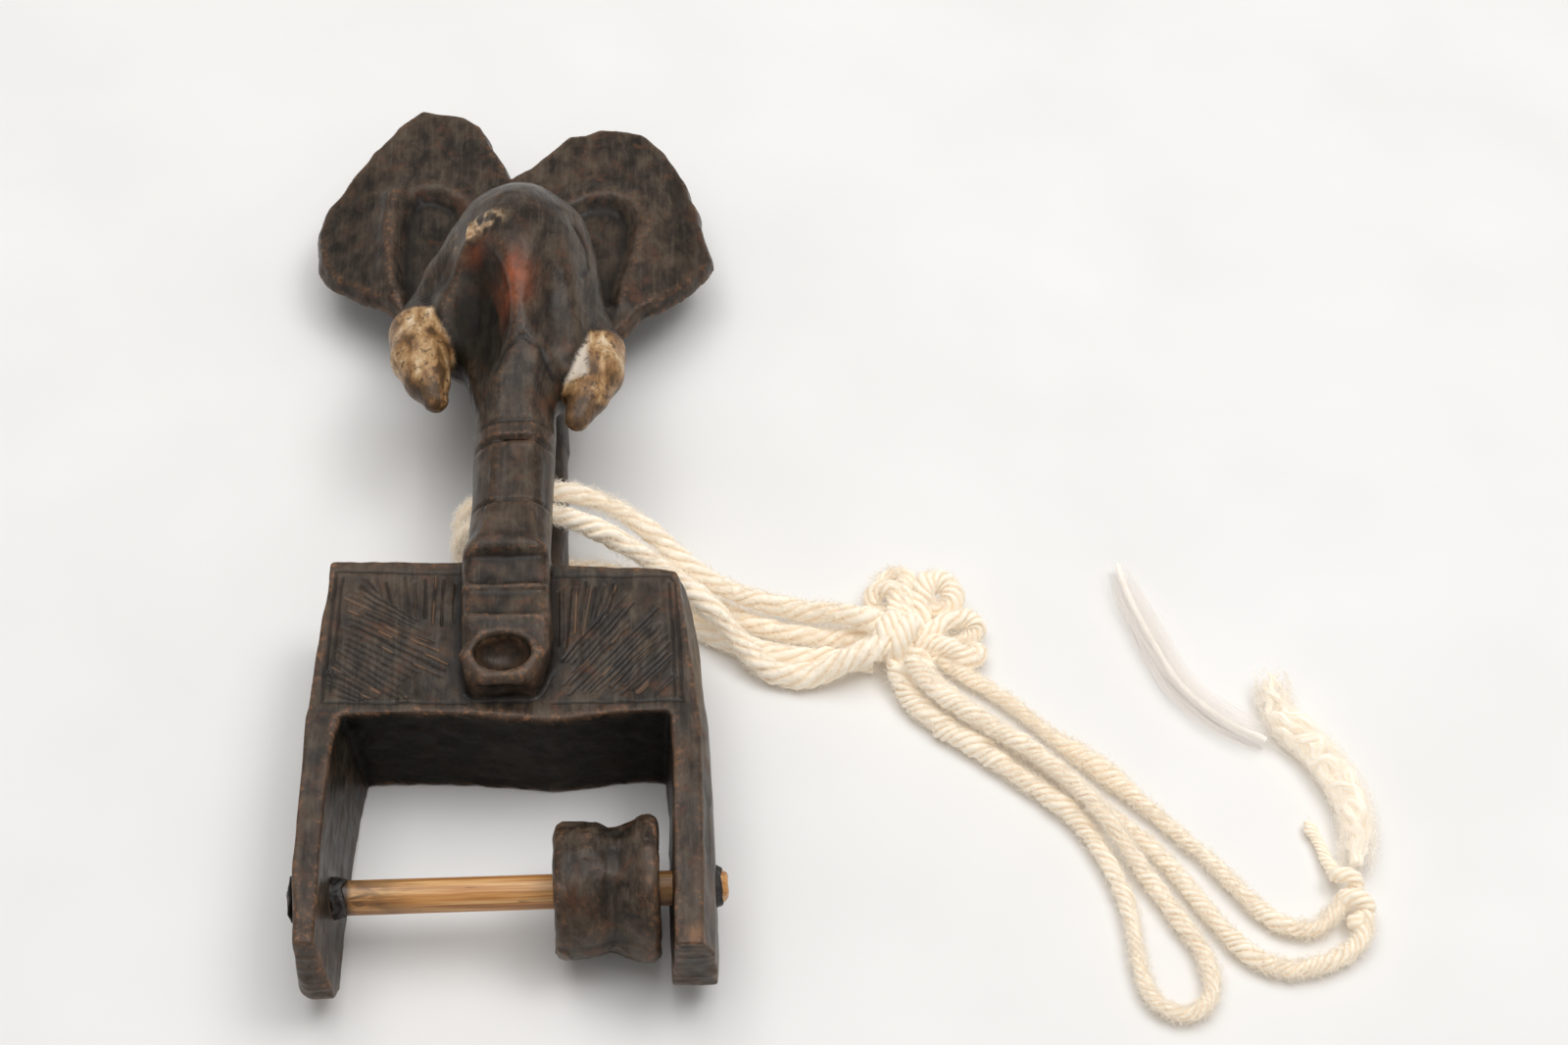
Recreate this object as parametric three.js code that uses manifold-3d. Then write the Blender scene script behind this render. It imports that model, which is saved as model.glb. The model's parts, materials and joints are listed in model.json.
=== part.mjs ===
// Carved wooden loom (heddle) pulley: a U-shaped yoke with an elephant-head finial, an axle pin, a spool and
// a cotton cord tied round the neck. Millimetres, +X along the axle, +Y from the legs to the head, +Z up from
// the surface that the pulley lies on, face up. Y is measured from the axle until the last group.
import * as THREE from 'three';
import { mergeVertices } from 'three/addons/utils/BufferGeometryUtils.js';
import Module from 'manifold-3d';

const wasm = await Module();
wasm.setup();

// Driving dimensions.
const FRONT = 24;                 // height of the yoke's carved front face
const LEG_END = -15.5;            // y of the leg tips
const PANEL_BOTTOM = 29;          // y of the crossbar's underside
const PANEL_TOP = 61.7;
const YOKE_HALF = 33.4;           // half width over the legs, at the front face
const WINDOW_HALF = 28.3;         // half width between the legs, at the front face
const OUTER_FLARE = 0.03;         // how much wider the yoke is at the back
const LEFT_INNER_FLARE = 0.08;    // how much narrower each side of the window is at the back
const RIGHT_INNER_FLARE = 0.03;
const LEG_BACK = 5.6;             // height of the legs' back face at their tips
const AXLE_HEIGHT = 12.6;
const AXLE_RADIUS = 3;
const AXLE_FROM = -35.9;
const AXLE_TO = 36.9;
const RUNNING_GAP = 0.08;         // radial clearance of the axle in the legs and the spool
const ROUND_SIDES = 24;
const SPOOL_FROM = 8.1;
const SPOOL_TO = 25.5;
const NECK = { x: 2, halfWidth: 8.5, bottom: 4.8, top: 17.4 };
const TRUNK = { x: 0.9, halfWidth: 7.3, end: 31.4, under: 22.5, height: 10 };
const SKULL = { at: [1.5, 128, 22], size: [15.5, 28, 22] };
const MUZZLE = { at: [1.5, 118, 27], size: [12.5, 20, 14] };
const EAR = { under: 13.5, thick: 5.5, tiltFrom: 22, tilt: 0.3 };
const EAR_TOP = 187;
const YARN_RADIUS = 1.9;
const YARN_SIDES = 8;
const TOUCH_GAP = 0.35;           // gap kept where a strand meets a knot

const WOOD = { color: 0x3a322d, roughness: 0.55, metalness: 0 };
const CANE = { color: 0xc9a063, roughness: 0.45, metalness: 0 };
const SPOOL_WOOD = { color: 0x33291f, roughness: 0.5, metalness: 0 };
const PITCH = { color: 0x17130f, roughness: 0.6, metalness: 0 };
const COTTON = { color: 0xe9dcc0, roughness: 0.95, metalness: 0 };

const vector = (point) => new THREE.Vector3(...point);
const flatPoint = ([x, y]) => new THREE.Vector2(x, y);

// A closed geometry as a solid that can be joined and cut.
function toSolid(geometry) {
  const bare = geometry.clone();
  bare.deleteAttribute('normal');
  bare.deleteAttribute('uv');
  const merged = mergeVertices(bare, 1e-4);
  const index = [];
  for (let i = 0; i < merged.index.count; i += 3) {
    const [a, b, c] = [0, 1, 2].map((k) => merged.index.getX(i + k));
    if (a !== b && b !== c && a !== c) {
      index.push(a, b, c);
    }
  }
  return new wasm.Manifold(new wasm.Mesh({
    numProp: 3,
    vertProperties: Float32Array.from(merged.attributes.position.array),
    triVerts: Uint32Array.from(index),
  }));
}

function toGeometry(solid) {
  const mesh = solid.getMesh();
  const geometry = new THREE.BufferGeometry();
  geometry.setAttribute('position', new THREE.BufferAttribute(Float32Array.from(mesh.vertProperties), 3));
  geometry.setIndex(new THREE.BufferAttribute(Uint32Array.from(mesh.triVerts), 1));
  geometry.computeVertexNormals();
  return geometry;
}

function part(name, geometry, look) {
  const mesh = new THREE.Mesh(geometry, new THREE.MeshStandardMaterial(look));
  mesh.name = name;
  return mesh;
}

function reshape(geometry, move) {
  const place = geometry.attributes.position;
  for (let i = 0; i < place.count; i += 1) {
    const [x, y, z] = move(place.getX(i), place.getY(i), place.getZ(i));
    place.setXYZ(i, x, y, z);
  }
  return geometry;
}

// A cylinder along the axle, from one x to another.
function axleCylinder(radius, from, to) {
  const geometry = new THREE.CylinderGeometry(radius, radius, to - from, ROUND_SIDES);
  geometry.rotateZ(-Math.PI / 2);
  geometry.translate((from + to) / 2, 0, AXLE_HEIGHT);
  return geometry;
}

// A turned piece on the axle: the profile is a list of [x, radius], closed on itself or on the axle.
function turned(profile) {
  const points = profile.map(([x, radius]) => new THREE.Vector2(radius, x));
  const geometry = new THREE.LatheGeometry(points, ROUND_SIDES);
  geometry.rotateZ(-Math.PI / 2);
  geometry.rotateX(Math.PI / 2);
  geometry.translate(0, 0, AXLE_HEIGHT);
  return geometry;
}

// The block that the yoke is cut from, wider at the back.
function yokeBlock() {
  const outline = new THREE.Shape();
  outline.moveTo(-YOKE_HALF + 0.6, LEG_END);
  outline.lineTo(YOKE_HALF + 0.4, LEG_END);
  outline.quadraticCurveTo(YOKE_HALF + 1, 8, YOKE_HALF, PANEL_BOTTOM);
  outline.lineTo(YOKE_HALF - 1.8, PANEL_TOP - 6);
  outline.quadraticCurveTo(YOKE_HALF - 2, PANEL_TOP, YOKE_HALF - 6, PANEL_TOP);
  outline.lineTo(-YOKE_HALF + 4, PANEL_TOP);
  outline.quadraticCurveTo(-YOKE_HALF + 2, PANEL_TOP, -YOKE_HALF + 1.8, PANEL_TOP - 3);
  outline.lineTo(-YOKE_HALF, PANEL_BOTTOM);
  outline.quadraticCurveTo(-YOKE_HALF - 1, 8, -YOKE_HALF + 0.6, LEG_END);
  const block = new THREE.ExtrudeGeometry(outline, { depth: FRONT, bevelEnabled: false, curveSegments: 6 });
  return toSolid(reshape(block, (x, y, z) => [x * (1 + OUTER_FLARE * (1 - z / FRONT)), y, z]));
}

// The window between the legs, narrower at the back, with rounded top corners.
function yokeWindow() {
  const low = LEG_END - 5;
  const corner = 3.5;
  const outline = new THREE.Shape();
  outline.moveTo(-WINDOW_HALF, low);
  outline.lineTo(WINDOW_HALF, low);
  outline.lineTo(WINDOW_HALF, PANEL_BOTTOM - corner);
  outline.absarc(WINDOW_HALF - corner, PANEL_BOTTOM - corner, corner, 0, Math.PI / 2);
  outline.absarc(-WINDOW_HALF + corner, PANEL_BOTTOM - corner, corner, Math.PI / 2, Math.PI);
  const past = 2;
  const window = new THREE.ExtrudeGeometry(outline,
    { depth: FRONT + 2 * past, bevelEnabled: false, curveSegments: 5 });
  window.translate(0, 0, -past);
  return toSolid(reshape(window, (x, y, z) => {
    const flare = x < 0 ? LEFT_INNER_FLARE : RIGHT_INNER_FLARE;
    return [x * (1 - flare * (1 - z / FRONT)), y, z];
  }));
}

// The yoke's side view: a flat front, and a back that rises towards the leg tips.
function yokeSide() {
  const outline = new THREE.Shape([
    [LEG_END - 1, LEG_BACK + 2.5], [LEG_END + 2.5, LEG_BACK - 0.6], [0, 3.3], [PANEL_BOTTOM - 6, 0.5],
    [PANEL_BOTTOM + 2, 0], [PANEL_TOP - 8, 0], [PANEL_TOP + 1, 1.6], [PANEL_TOP + 1, FRONT],
    [LEG_END - 1, FRONT],
  ].map(flatPoint));
  const width = 3 * YOKE_HALF;
  const side = new THREE.ExtrudeGeometry(outline, { depth: width, bevelEnabled: false });
  side.translate(0, 0, -width / 2);
  // The drawing plane's x and y become y and z, and its depth becomes x.
  return toSolid(reshape(side, (x, y, z) => [z, x, y]));
}

function yoke() {
  return yokeBlock().subtract(yokeWindow()).intersect(yokeSide());
}

function neck() {
  const section = new THREE.Shape();
  const middle = (NECK.bottom + NECK.top) / 2;
  section.absellipse(0, 0, NECK.halfWidth, (NECK.top - NECK.bottom) / 2, 0, 2 * Math.PI);
  const from = PANEL_TOP - 4;
  const post = new THREE.ExtrudeGeometry(section, { depth: 46, bevelEnabled: false, curveSegments: 12 });
  return toSolid(reshape(post, (x, y, z) => [NECK.x - x, from + z, middle + y]));
}

// A flat-bottomed section with a rounded top, for the trunk and its rings.
function trunkSlice(from, to, grow) {
  const wide = TRUNK.halfWidth + grow;
  const high = TRUNK.height + grow;
  const section = new THREE.Shape();
  section.moveTo(-wide, 0);
  section.lineTo(wide, 0);
  section.lineTo(wide, high * 0.45);
  section.absellipse(0, high * 0.45, wide, high * 0.55, 0, Math.PI);
  const slice = new THREE.ExtrudeGeometry(section, { depth: to - from, bevelEnabled: false, curveSegments: 12 });
  return toSolid(reshape(slice, (x, y, z) => [TRUNK.x - x, from + z, TRUNK.under + y]));
}

function trunk() {
  let solid = trunkSlice(TRUNK.end, 104, 0);
  for (const [from, to] of [[48, 53], [58, 68], [84, 88]]) {
    solid = solid.add(trunkSlice(from, to, 0.5));
  }
  const hollow = new THREE.SphereGeometry(6, 16, 12);
  hollow.translate(TRUNK.x, TRUNK.end + 4.8, TRUNK.under + TRUNK.height + 3.3);
  return solid.subtract(toSolid(hollow));
}

function ellipsoid({ at, size, turn = 0 }, sides, rings) {
  const ball = new THREE.SphereGeometry(1, sides, rings);
  ball.scale(...size);
  ball.rotateZ(turn);
  ball.translate(...at);
  return toSolid(ball);
}

// An ear is a plate that leans back from its ridge to its rim.
function ear(outline) {
  const shape = new THREE.Shape();
  shape.moveTo(...outline[0]);
  shape.splineThru(outline.slice(1).map(flatPoint));
  shape.closePath();
  const plate = new THREE.ExtrudeGeometry(shape, { depth: EAR.thick, bevelEnabled: false, curveSegments: 22 });
  return toSolid(reshape(plate, (x, y, z) => {
    const past = Math.max(0, Math.abs(x) - EAR.tiltFrom);
    return [x, y, EAR.under + z - EAR.tilt * past];
  }));
}

const LEFT_EAR = [
  [-1, 146], [-1, 165], [-8, 180], [-14.5, 185.5], [-20, EAR_TOP], [-26, 180], [-32, 170.5], [-37.2, 160.5],
  [-39.4, 153], [-38.4, 144.5], [-34.5, 139.5], [-25, 133], [-12, 126],
];
const RIGHT_EAR = [
  [2, 146], [-1, 164], [4, 170.5], [11, 177.5], [18, 180.5], [26, 178], [32, 169], [37, 156.5],
  [39.4, 144], [36.5, 136], [30, 129.5], [21, 121.5], [12, 118],
];

// A stubby tusk: a collar at the cheek and a blunt, tapering point.
function tusk(root, tip, radius) {
  const from = vector(root);
  const along = vector(tip).sub(from);
  const length = along.length();
  const profile = [
    [0, -2], [radius * 0.95, -2], [radius * 1.05, 3], [radius, 7], [radius * 0.98, length * 0.55],
    [radius * 0.72, length * 0.86], [radius * 0.3, length], [0, length],
  ].map(flatPoint);
  const geometry = new THREE.LatheGeometry(profile, 16);
  const turn = new THREE.Quaternion().setFromUnitVectors(new THREE.Vector3(0, 1, 0), along.normalize());
  geometry.applyQuaternion(turn);
  geometry.translate(...root);
  return toSolid(geometry);
}

function carvedPulley() {
  const bore = toSolid(axleCylinder(AXLE_RADIUS + RUNNING_GAP, -60, 60));
  const solid = yoke()
    .subtract(bore)
    .add(neck())
    .add(trunk())
    .add(ellipsoid(SKULL, 28, 20))
    .add(ellipsoid(MUZZLE, 24, 16))
    .add(ear(LEFT_EAR))
    .add(ear(RIGHT_EAR))
    .add(tusk([-17.6, 120, 26], [-14.3, 95.5, 28], 5.9))
    .add(tusk([16.4, 113, 26], [13, 90, 28], 5.4));
  return part('carved_pulley', toGeometry(solid), WOOD);
}

function axlePin() {
  const chamfer = 0.9;
  const profile = [
    [AXLE_FROM, 0], [AXLE_FROM, AXLE_RADIUS - chamfer], [AXLE_FROM + chamfer, AXLE_RADIUS],
    [AXLE_TO - chamfer, AXLE_RADIUS], [AXLE_TO, AXLE_RADIUS - chamfer], [AXLE_TO, 0],
  ];
  return part('axle_pin', toGeometry(toSolid(turned(profile))), CANE);
}

function spool() {
  const bore = AXLE_RADIUS + RUNNING_GAP;
  const profile = [
    [SPOOL_FROM, bore], [SPOOL_FROM, 10.6], [SPOOL_FROM + 1, 11.3], [SPOOL_FROM + 4, 11], [SPOOL_FROM + 8, 10.3],
    [SPOOL_FROM + 11, 10.6], [SPOOL_FROM + 14, 12], [SPOOL_TO - 1, 12.5], [SPOOL_TO, 11.8], [SPOOL_TO, bore],
    [SPOOL_FROM, bore],
  ];
  return part('spool', toGeometry(toSolid(turned(profile))), SPOOL_WOOD);
}

// A ring of pitch round the pin.
function pitchRing(name, from, to, radius) {
  const bore = AXLE_RADIUS + RUNNING_GAP;
  const profile = [[from, bore], [from, radius], [to, radius - 0.7], [to, bore], [from, bore]];
  return part(name, toGeometry(toSolid(turned(profile))), PITCH);
}

// The two knots and the tuft of small loops.
const MAIN_KNOT = { at: [71, 56.5, 5.3], size: [6.2, 7, 5.2], turn: 0.3 };
const LOOP_TUFT = { at: [78.6, 65.6, 4.5], size: [7.2, 10.4, 4.3], turn: 0.75 };
const END_KNOT = { at: [144.6, 0, 3.9], size: [4.3, 8.2, 3.7], turn: 0.1 };

function knotSolid(knot, grow) {
  return ellipsoid({ ...knot, size: knot.size.map((size) => size + grow) }, 14, 10);
}

const YARN_TURN_HIGH = [
  [67, 59, 7], [61, 61.8, 6.2], [54, 64, 4.6], [46, 65.8, 5.6], [38.6, 67.8, 7.6], [32, 71.4, 10.4],
  [25.5, 76.2, 14.2], [18, 80, 17.6], [10, 81.6, 19.7], [3, 81.6, 20.1], [-3.4, 81.1, 19.4], [-8.2, 80.4, 16.4],
  [-9.7, 79.6, 11.2], [-8.2, 78.9, 6.2], [-4, 78.4, 3.2], [2, 78, 2.2], [9, 77.6, 2.1], [17, 76.4, 2.1],
  [25, 74, 2.1], [33, 70, 2.1], [41, 65, 2.1], [49, 61.2, 2.1], [57, 59.6, 2.1], [66, 58.8, 2.4],
];
const YARN_TURN_LOW = [
  [67, 54, 7], [60.5, 51.6, 5.4], [54, 50.6, 2.6], [47.5, 51.8, 2.6], [42.6, 56, 4.2], [38.4, 61, 6.6],
  [33.4, 65.4, 9.4], [27, 69.2, 12.6], [20, 72.4, 16], [13, 75, 18.6], [6.5, 76.6, 19.9], [0.5, 76.4, 20.1],
  [-5.2, 75.8, 18.9], [-9.2, 75.1, 14.8], [-9.5, 74.4, 9.4], [-6.8, 73.8, 4.6], [-1, 73.5, 2.4],
  [6, 73, 2.1], [14, 71.8, 2.1], [22, 69.4, 2.1], [30, 65.6, 2.1], [37.8, 60.4, 2.1], [45, 57.1, 2.1],
  [52, 55.1, 2.1], [59, 54.6, 2.1], [66, 53.8, 2.4],
];
const YARN_BIGHT = [
  [70, 51, 3.5], [72.2, 45, 2.2], [77, 39.3, 2.1], [83, 34.3, 2.1], [88.5, 29.2, 2.1], [94, 24, 2.1],
  [98.8, 18.7, 2.1], [102, 12.8, 2.1], [104.3, 6.5, 2.1], [105.8, 0, 2.1], [106.1, -7, 2.1], [106.3, -12.6, 2.1],
  [107.6, -17.9, 2.1], [111.5, -21, 2.1], [115.8, -19.8, 2.1], [117.9, -15.6, 2.1], [117.4, -9.6, 2.1],
  [114.8, -4, 2.1], [112.4, 1, 2.1], [109.8, 6, 2.5], [106.7, 11.4, 4.2], [103.2, 16.8, 5.7],
  [99, 23, 6.1], [93, 29.7, 6.1], [87, 34.8, 6.1], [81, 39.8, 6.1], [76.2, 44.4, 6.2], [72.2, 50.4, 6.6],
];
const YARN_TAIL_INNER = [
  [74.4, 52.6, 3], [77, 48.2, 2.2], [81.5, 43.3, 2.1], [86.5, 38.6, 2.1], [92, 33.4, 2.1], [97, 28.3, 2.1],
  [101.8, 22.9, 2.1], [105.8, 18.2, 2.1], [109.2, 14.6, 2.1], [112, 11.3, 2.1], [115.4, 6, 2.1],
  [118.6, 0, 2.1], [122, -6, 2.1], [126, -10.8, 2.1], [131, -13.1, 2.1], [136, -12.8, 2.1],
  [141, -11, 2.2], [144.8, -8, 2.8], [146, -3.6, 3.2],
];
const YARN_TAIL_OUTER = [
  [76.6, 55.8, 3.2], [80.3, 52.2, 2.2], [85, 48.2, 2.1], [90.2, 43.7, 2.1], [94.6, 38.6, 2.1], [99, 34, 2.1],
  [103.6, 29.8, 2.1], [108.2, 24.8, 2.1], [112.6, 19.4, 2.1], [117, 14, 2.1], [121.4, 8.8, 2.1],
  [124.8, 3.6, 2.1], [128.3, -1.2, 2.1], [132.3, -4.8, 2.1], [137.2, -5.6, 2.2], [141.4, -2.6, 2.8], [144, 0, 3],
];
const FRAYED_END = [
  [146.4, 6, 3.2], [147.5, 10, 3.1], [148.4, 14.5, 3.1], [148, 20, 3.1], [146.2, 26, 3.1], [143.4, 31.5, 3.1],
  [140, 36, 3.1], [138.4, 41, 3.1], [138.8, 47, 3.1],
];
const WISPY_TAIL = [
  [135.6, 33.6, 2.4], [131.4, 36.2, 2.4], [127.4, 39.6, 2.4], [123.6, 44, 2.4], [120.8, 49, 2.4], [118.8, 55, 2.4],
  [116.8, 61.5, 2.4], [115, 68.5, 2.4], [114.2, 75, 2.4],
];
const PLY_END = [
  [142.6, 5.5, 2.4], [141.7, 9.5, 1.6], [141, 13, 1.5], [139.9, 16.5, 1.5],
];

function cordSolid(route, radius, steps) {
  const section = new THREE.Shape();
  for (let side = 0; side < YARN_SIDES; side += 1) {
    const angle = (side * 2 * Math.PI) / YARN_SIDES;
    const corner = [radius * Math.cos(angle), radius * Math.sin(angle)];
    if (side === 0) {
      section.moveTo(...corner);
    } else {
      section.lineTo(...corner);
    }
  }
  const extrudePath = new THREE.CatmullRomCurve3(route.map(vector));
  return toSolid(new THREE.ExtrudeGeometry(section, { extrudePath, steps, bevelEnabled: false }));
}

// A strand, cut back from the knots that it runs into.
function strand(name, route, radius, steps, knots) {
  let solid = cordSolid(route, radius, steps);
  for (const knot of knots) {
    solid = solid.subtract(knotSolid(knot, TOUCH_GAP));
  }
  return part(name, toGeometry(solid), COTTON);
}

function yarn() {
  const loops = knotSolid(LOOP_TUFT, 0).subtract(knotSolid(MAIN_KNOT, TOUCH_GAP));
  return [
    part('yarn_main_knot', toGeometry(knotSolid(MAIN_KNOT, 0)), COTTON),
    part('yarn_loop_tuft', toGeometry(loops), COTTON),
    part('yarn_end_knot', toGeometry(knotSolid(END_KNOT, 0)), COTTON),
    strand('yarn_turn_high', YARN_TURN_HIGH, YARN_RADIUS, 18, [MAIN_KNOT]),
    strand('yarn_turn_low', YARN_TURN_LOW, YARN_RADIUS, 18, [MAIN_KNOT]),
    strand('yarn_bight', YARN_BIGHT, YARN_RADIUS, 22, [MAIN_KNOT]),
    strand('yarn_tail_inner', YARN_TAIL_INNER, YARN_RADIUS, 11, [MAIN_KNOT, END_KNOT]),
    strand('yarn_tail_outer', YARN_TAIL_OUTER, YARN_RADIUS, 10, [MAIN_KNOT, END_KNOT]),
    strand('yarn_frayed_end', FRAYED_END, 3, 4, [END_KNOT]),
    strand('yarn_wispy_tail', WISPY_TAIL, 2.2, 5, []),
    strand('yarn_ply_end', PLY_END, 1.2, 2, [END_KNOT]),
  ];
}

const pulley = new THREE.Group();
pulley.name = 'heddle_pulley';
pulley.add(
  carvedPulley(),
  axlePin(),
  spool(),
  pitchRing('pitch_left_inner', -26.4, -25, 4.6),
  pitchRing('pitch_left_outer', -35.6, -34.9, 4.2),
  pitchRing('pitch_right_outer', 35.2, 36.1, 4.4),
  ...yarn(),
);
// The origin is under the middle of the carving.
pulley.position.y = -(LEG_END + EAR_TOP) / 2;

export default pulley;
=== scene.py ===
"""A carved wooden loom (heddle) pulley with an elephant-head finial, lying face up on a pale table.

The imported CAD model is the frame. The carving is sculpted here as a distance field and meshed; the spool,
pin, pitch and cotton cord are built from profiles and routes. Sculpting is done in millimetres, with x along
the axle, y measured from the axle towards the head, and z measured up from the table.
"""
import functools
import json
import math

import bmesh
import bpy
import numpy as np
from mathutils import Matrix, Vector


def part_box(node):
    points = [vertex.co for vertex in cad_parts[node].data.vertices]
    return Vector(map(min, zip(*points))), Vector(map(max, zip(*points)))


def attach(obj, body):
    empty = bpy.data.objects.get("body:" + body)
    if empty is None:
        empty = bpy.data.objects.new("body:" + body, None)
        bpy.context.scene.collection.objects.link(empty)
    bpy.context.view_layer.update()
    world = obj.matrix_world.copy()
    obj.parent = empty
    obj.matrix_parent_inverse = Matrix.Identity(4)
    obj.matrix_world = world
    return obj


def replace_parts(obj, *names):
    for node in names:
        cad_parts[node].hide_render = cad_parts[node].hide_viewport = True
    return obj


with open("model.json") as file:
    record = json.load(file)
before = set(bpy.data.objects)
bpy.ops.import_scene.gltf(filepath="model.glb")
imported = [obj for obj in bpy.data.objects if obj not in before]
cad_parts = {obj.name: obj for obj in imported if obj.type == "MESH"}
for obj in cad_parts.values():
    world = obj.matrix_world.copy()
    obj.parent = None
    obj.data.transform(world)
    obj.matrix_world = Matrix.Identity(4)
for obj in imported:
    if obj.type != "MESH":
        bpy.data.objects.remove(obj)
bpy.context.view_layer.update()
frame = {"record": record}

# ---------------------------------------------------------------------------------------------------------
# Driving dimensions, worked out from the frame
# ---------------------------------------------------------------------------------------------------------
MM = 0.001
pin_low, pin_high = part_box("axle_pin")
ORIGIN = np.array([0.0, (pin_low.y + pin_high.y) / 2, 0.0])   # on the table under the middle of the axle


def box_mm(node):
    """A CAD node's lowest and highest corner, in sculpting millimetres."""
    return [(np.array(corner) - ORIGIN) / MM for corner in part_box(node)]


def mount_mm(name):
    """A mount's place, in sculpting millimetres."""
    place = next(m["pos_m"] for m in frame["record"]["mounts"] if m["name"] == name)
    return (np.array(place) - ORIGIN) / MM


FRONT = mount_mm("panel_front")[2]                 # height of the yoke's front face
PANEL_TOP = mount_mm("crossbar_top")[1]
PANEL_BOTTOM = mount_mm("crossbar_underside")[1]
PIN_LOW, PIN_HIGH = box_mm("axle_pin")
PIN_RADIUS = (PIN_HIGH[2] - PIN_LOW[2]) / 2
AXLE_HEIGHT = (PIN_HIGH[2] + PIN_LOW[2]) / 2
LEG_END = box_mm("carved_pulley")[0][1]
BORE_CLEARANCE = 0.12                              # between the pin and what it runs through

FIELD_STEP = 0.5                                   # spacing of the distance field
FIELD_LOW, FIELD_HIGH = (-43, -20, -1.5), (43, 192, 46)


# ---------------------------------------------------------------------------------------------------------
# Small tools
# ---------------------------------------------------------------------------------------------------------
def curve(at, knots):
    """Straight-line interpolation through (place, value) knots."""
    places, values = zip(*knots)
    return np.interp(at, places, values)


def smoothstep(low, high, value):
    """0 below low, 1 above high and a soft change between."""
    t = np.clip((value - low) / (high - low), 0, 1)
    return t * t * (3 - 2 * t)


def distance_along(line):
    """How far along a line each of its points is."""
    return np.concatenate([[0], np.cumsum(np.linalg.norm(np.diff(line, axis=0), axis=1))])


def outward(points):
    """How far each point is from the x axis, and the unit vector that leads away from that axis."""
    out = np.hypot(points[:, 1], points[:, 2])
    return out, points * (0, 1, 1) / out[:, None]


NOISE_CELLS = 32                                   # the random values repeat after this many cells


def value_noise(points, size, seed):
    """Smooth random values from -1 to 1 that change over about size millimetres."""
    table = np.random.default_rng(seed).uniform(-1, 1, (NOISE_CELLS,) * 3)
    place = np.asarray(points) / size
    cell = np.floor(place).astype(int)
    t = place - cell
    t = t * t * (3 - 2 * t)
    total = 0
    for corner in np.ndindex(2, 2, 2):
        weight = np.prod(np.where(corner, t, 1 - t), axis=-1)
        i, j, k = np.moveaxis((cell + corner) % NOISE_CELLS, -1, 0)
        total = total + weight * table[i, j, k]
    return total


def build_mesh(name, points, faces, body):
    """A mesh piece from points in millimetres and equal-sided faces, riding a body."""
    faces = np.asarray(faces)
    mesh = bpy.data.meshes.new(name)
    mesh.vertices.add(len(points))
    mesh.vertices.foreach_set("co", (np.asarray(points) * MM + ORIGIN).astype(np.float32).ravel())
    sides = faces.shape[1]
    mesh.loops.add(faces.size)
    mesh.loops.foreach_set("vertex_index", faces.astype(np.int32).ravel())
    mesh.polygons.add(len(faces))
    mesh.polygons.foreach_set("loop_start", np.arange(0, faces.size, sides, dtype=np.int32))
    mesh.update(calc_edges=True)
    mesh.shade_smooth()
    piece = bpy.data.objects.new(name, mesh)
    bpy.context.scene.collection.objects.link(piece)
    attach(piece, body)
    return piece


def set_attribute(piece, name, values):
    """A number for each point of the mesh, which its material reads."""
    layer = piece.data.attributes.new(name, "FLOAT", "POINT")
    layer.data.foreach_set("value", np.asarray(values, np.float32))


def mesh_arrays(mesh):
    """A mesh's points and normals, in sculpting millimetres, and its edges."""
    points = np.zeros(len(mesh.vertices) * 3, np.float32)
    mesh.vertices.foreach_get("co", points)
    normals = np.zeros_like(points)
    mesh.vertex_normals.foreach_get("vector", normals)
    edges = np.zeros(len(mesh.edges) * 2, np.int32)
    mesh.edges.foreach_get("vertices", edges)
    points = (points.reshape(-1, 3) - ORIGIN) / MM
    return points, normals.reshape(-1, 3).astype(float), edges.reshape(-1, 2)


def neighbour_mean(values, edges):
    """The mean of each point's neighbours."""
    total = np.zeros_like(values)
    count = np.bincount(edges.ravel(), minlength=len(values)).clip(1)
    for a, b in ((0, 1), (1, 0)):
        if values.ndim == 1:
            total += np.bincount(edges[:, a], values[edges[:, b]], len(values))
        else:
            for axis in range(values.shape[1]):
                total[:, axis] += np.bincount(edges[:, a], values[edges[:, b], axis], len(values))
    return total / (count if values.ndim == 1 else count[:, None])


# ---------------------------------------------------------------------------------------------------------
# Distance fields
# ---------------------------------------------------------------------------------------------------------
class Grid:
    """A block of sample points whose x, y and z arrays broadcast against each other."""

    def __init__(self, low, high, step):
        self.low = np.array(low, float)
        self.step = step
        axes = [np.arange(a, b + step, step, dtype=np.float32) for a, b in zip(low, high)]
        self.x = axes[0][:, None, None]
        self.y = axes[1][None, :, None]
        self.z = axes[2][None, None, :]


def join(a, b, blend):
    """The union of two fields, with a fillet of about blend millimetres."""
    h = np.clip(0.5 + 0.5 * (b - a) / blend, 0, 1)
    return b + (a - b) * h - blend * h * (1 - h)


def overlap(a, b, blend):
    """The part inside both fields, with its edge rounded."""
    return -join(-a, -b, blend)


def cut(a, b, blend):
    """The first field without the second."""
    return -join(-a, b, blend)


def plane_noise(g, size, seed):
    """Random values that change across the grid's plane only."""
    x, y = np.broadcast_arrays(g.x[:, :, 0], g.y[:, :, 0])
    return value_noise(np.stack([x, y, 0 * x], -1), size, seed)[:, :, None]


def ellipsoid(g, centre, radii):
    """An ellipsoid with its axes along x, y and z."""
    offsets = (g.x - centre[0], g.y - centre[1], g.z - centre[2])
    near = np.sqrt(sum((d / r) ** 2 for d, r in zip(offsets, radii)))
    slope = np.sqrt(sum((d / r ** 2) ** 2 for d, r in zip(offsets, radii)))
    return near * (near - 1) / np.maximum(slope, 1e-6)


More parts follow.
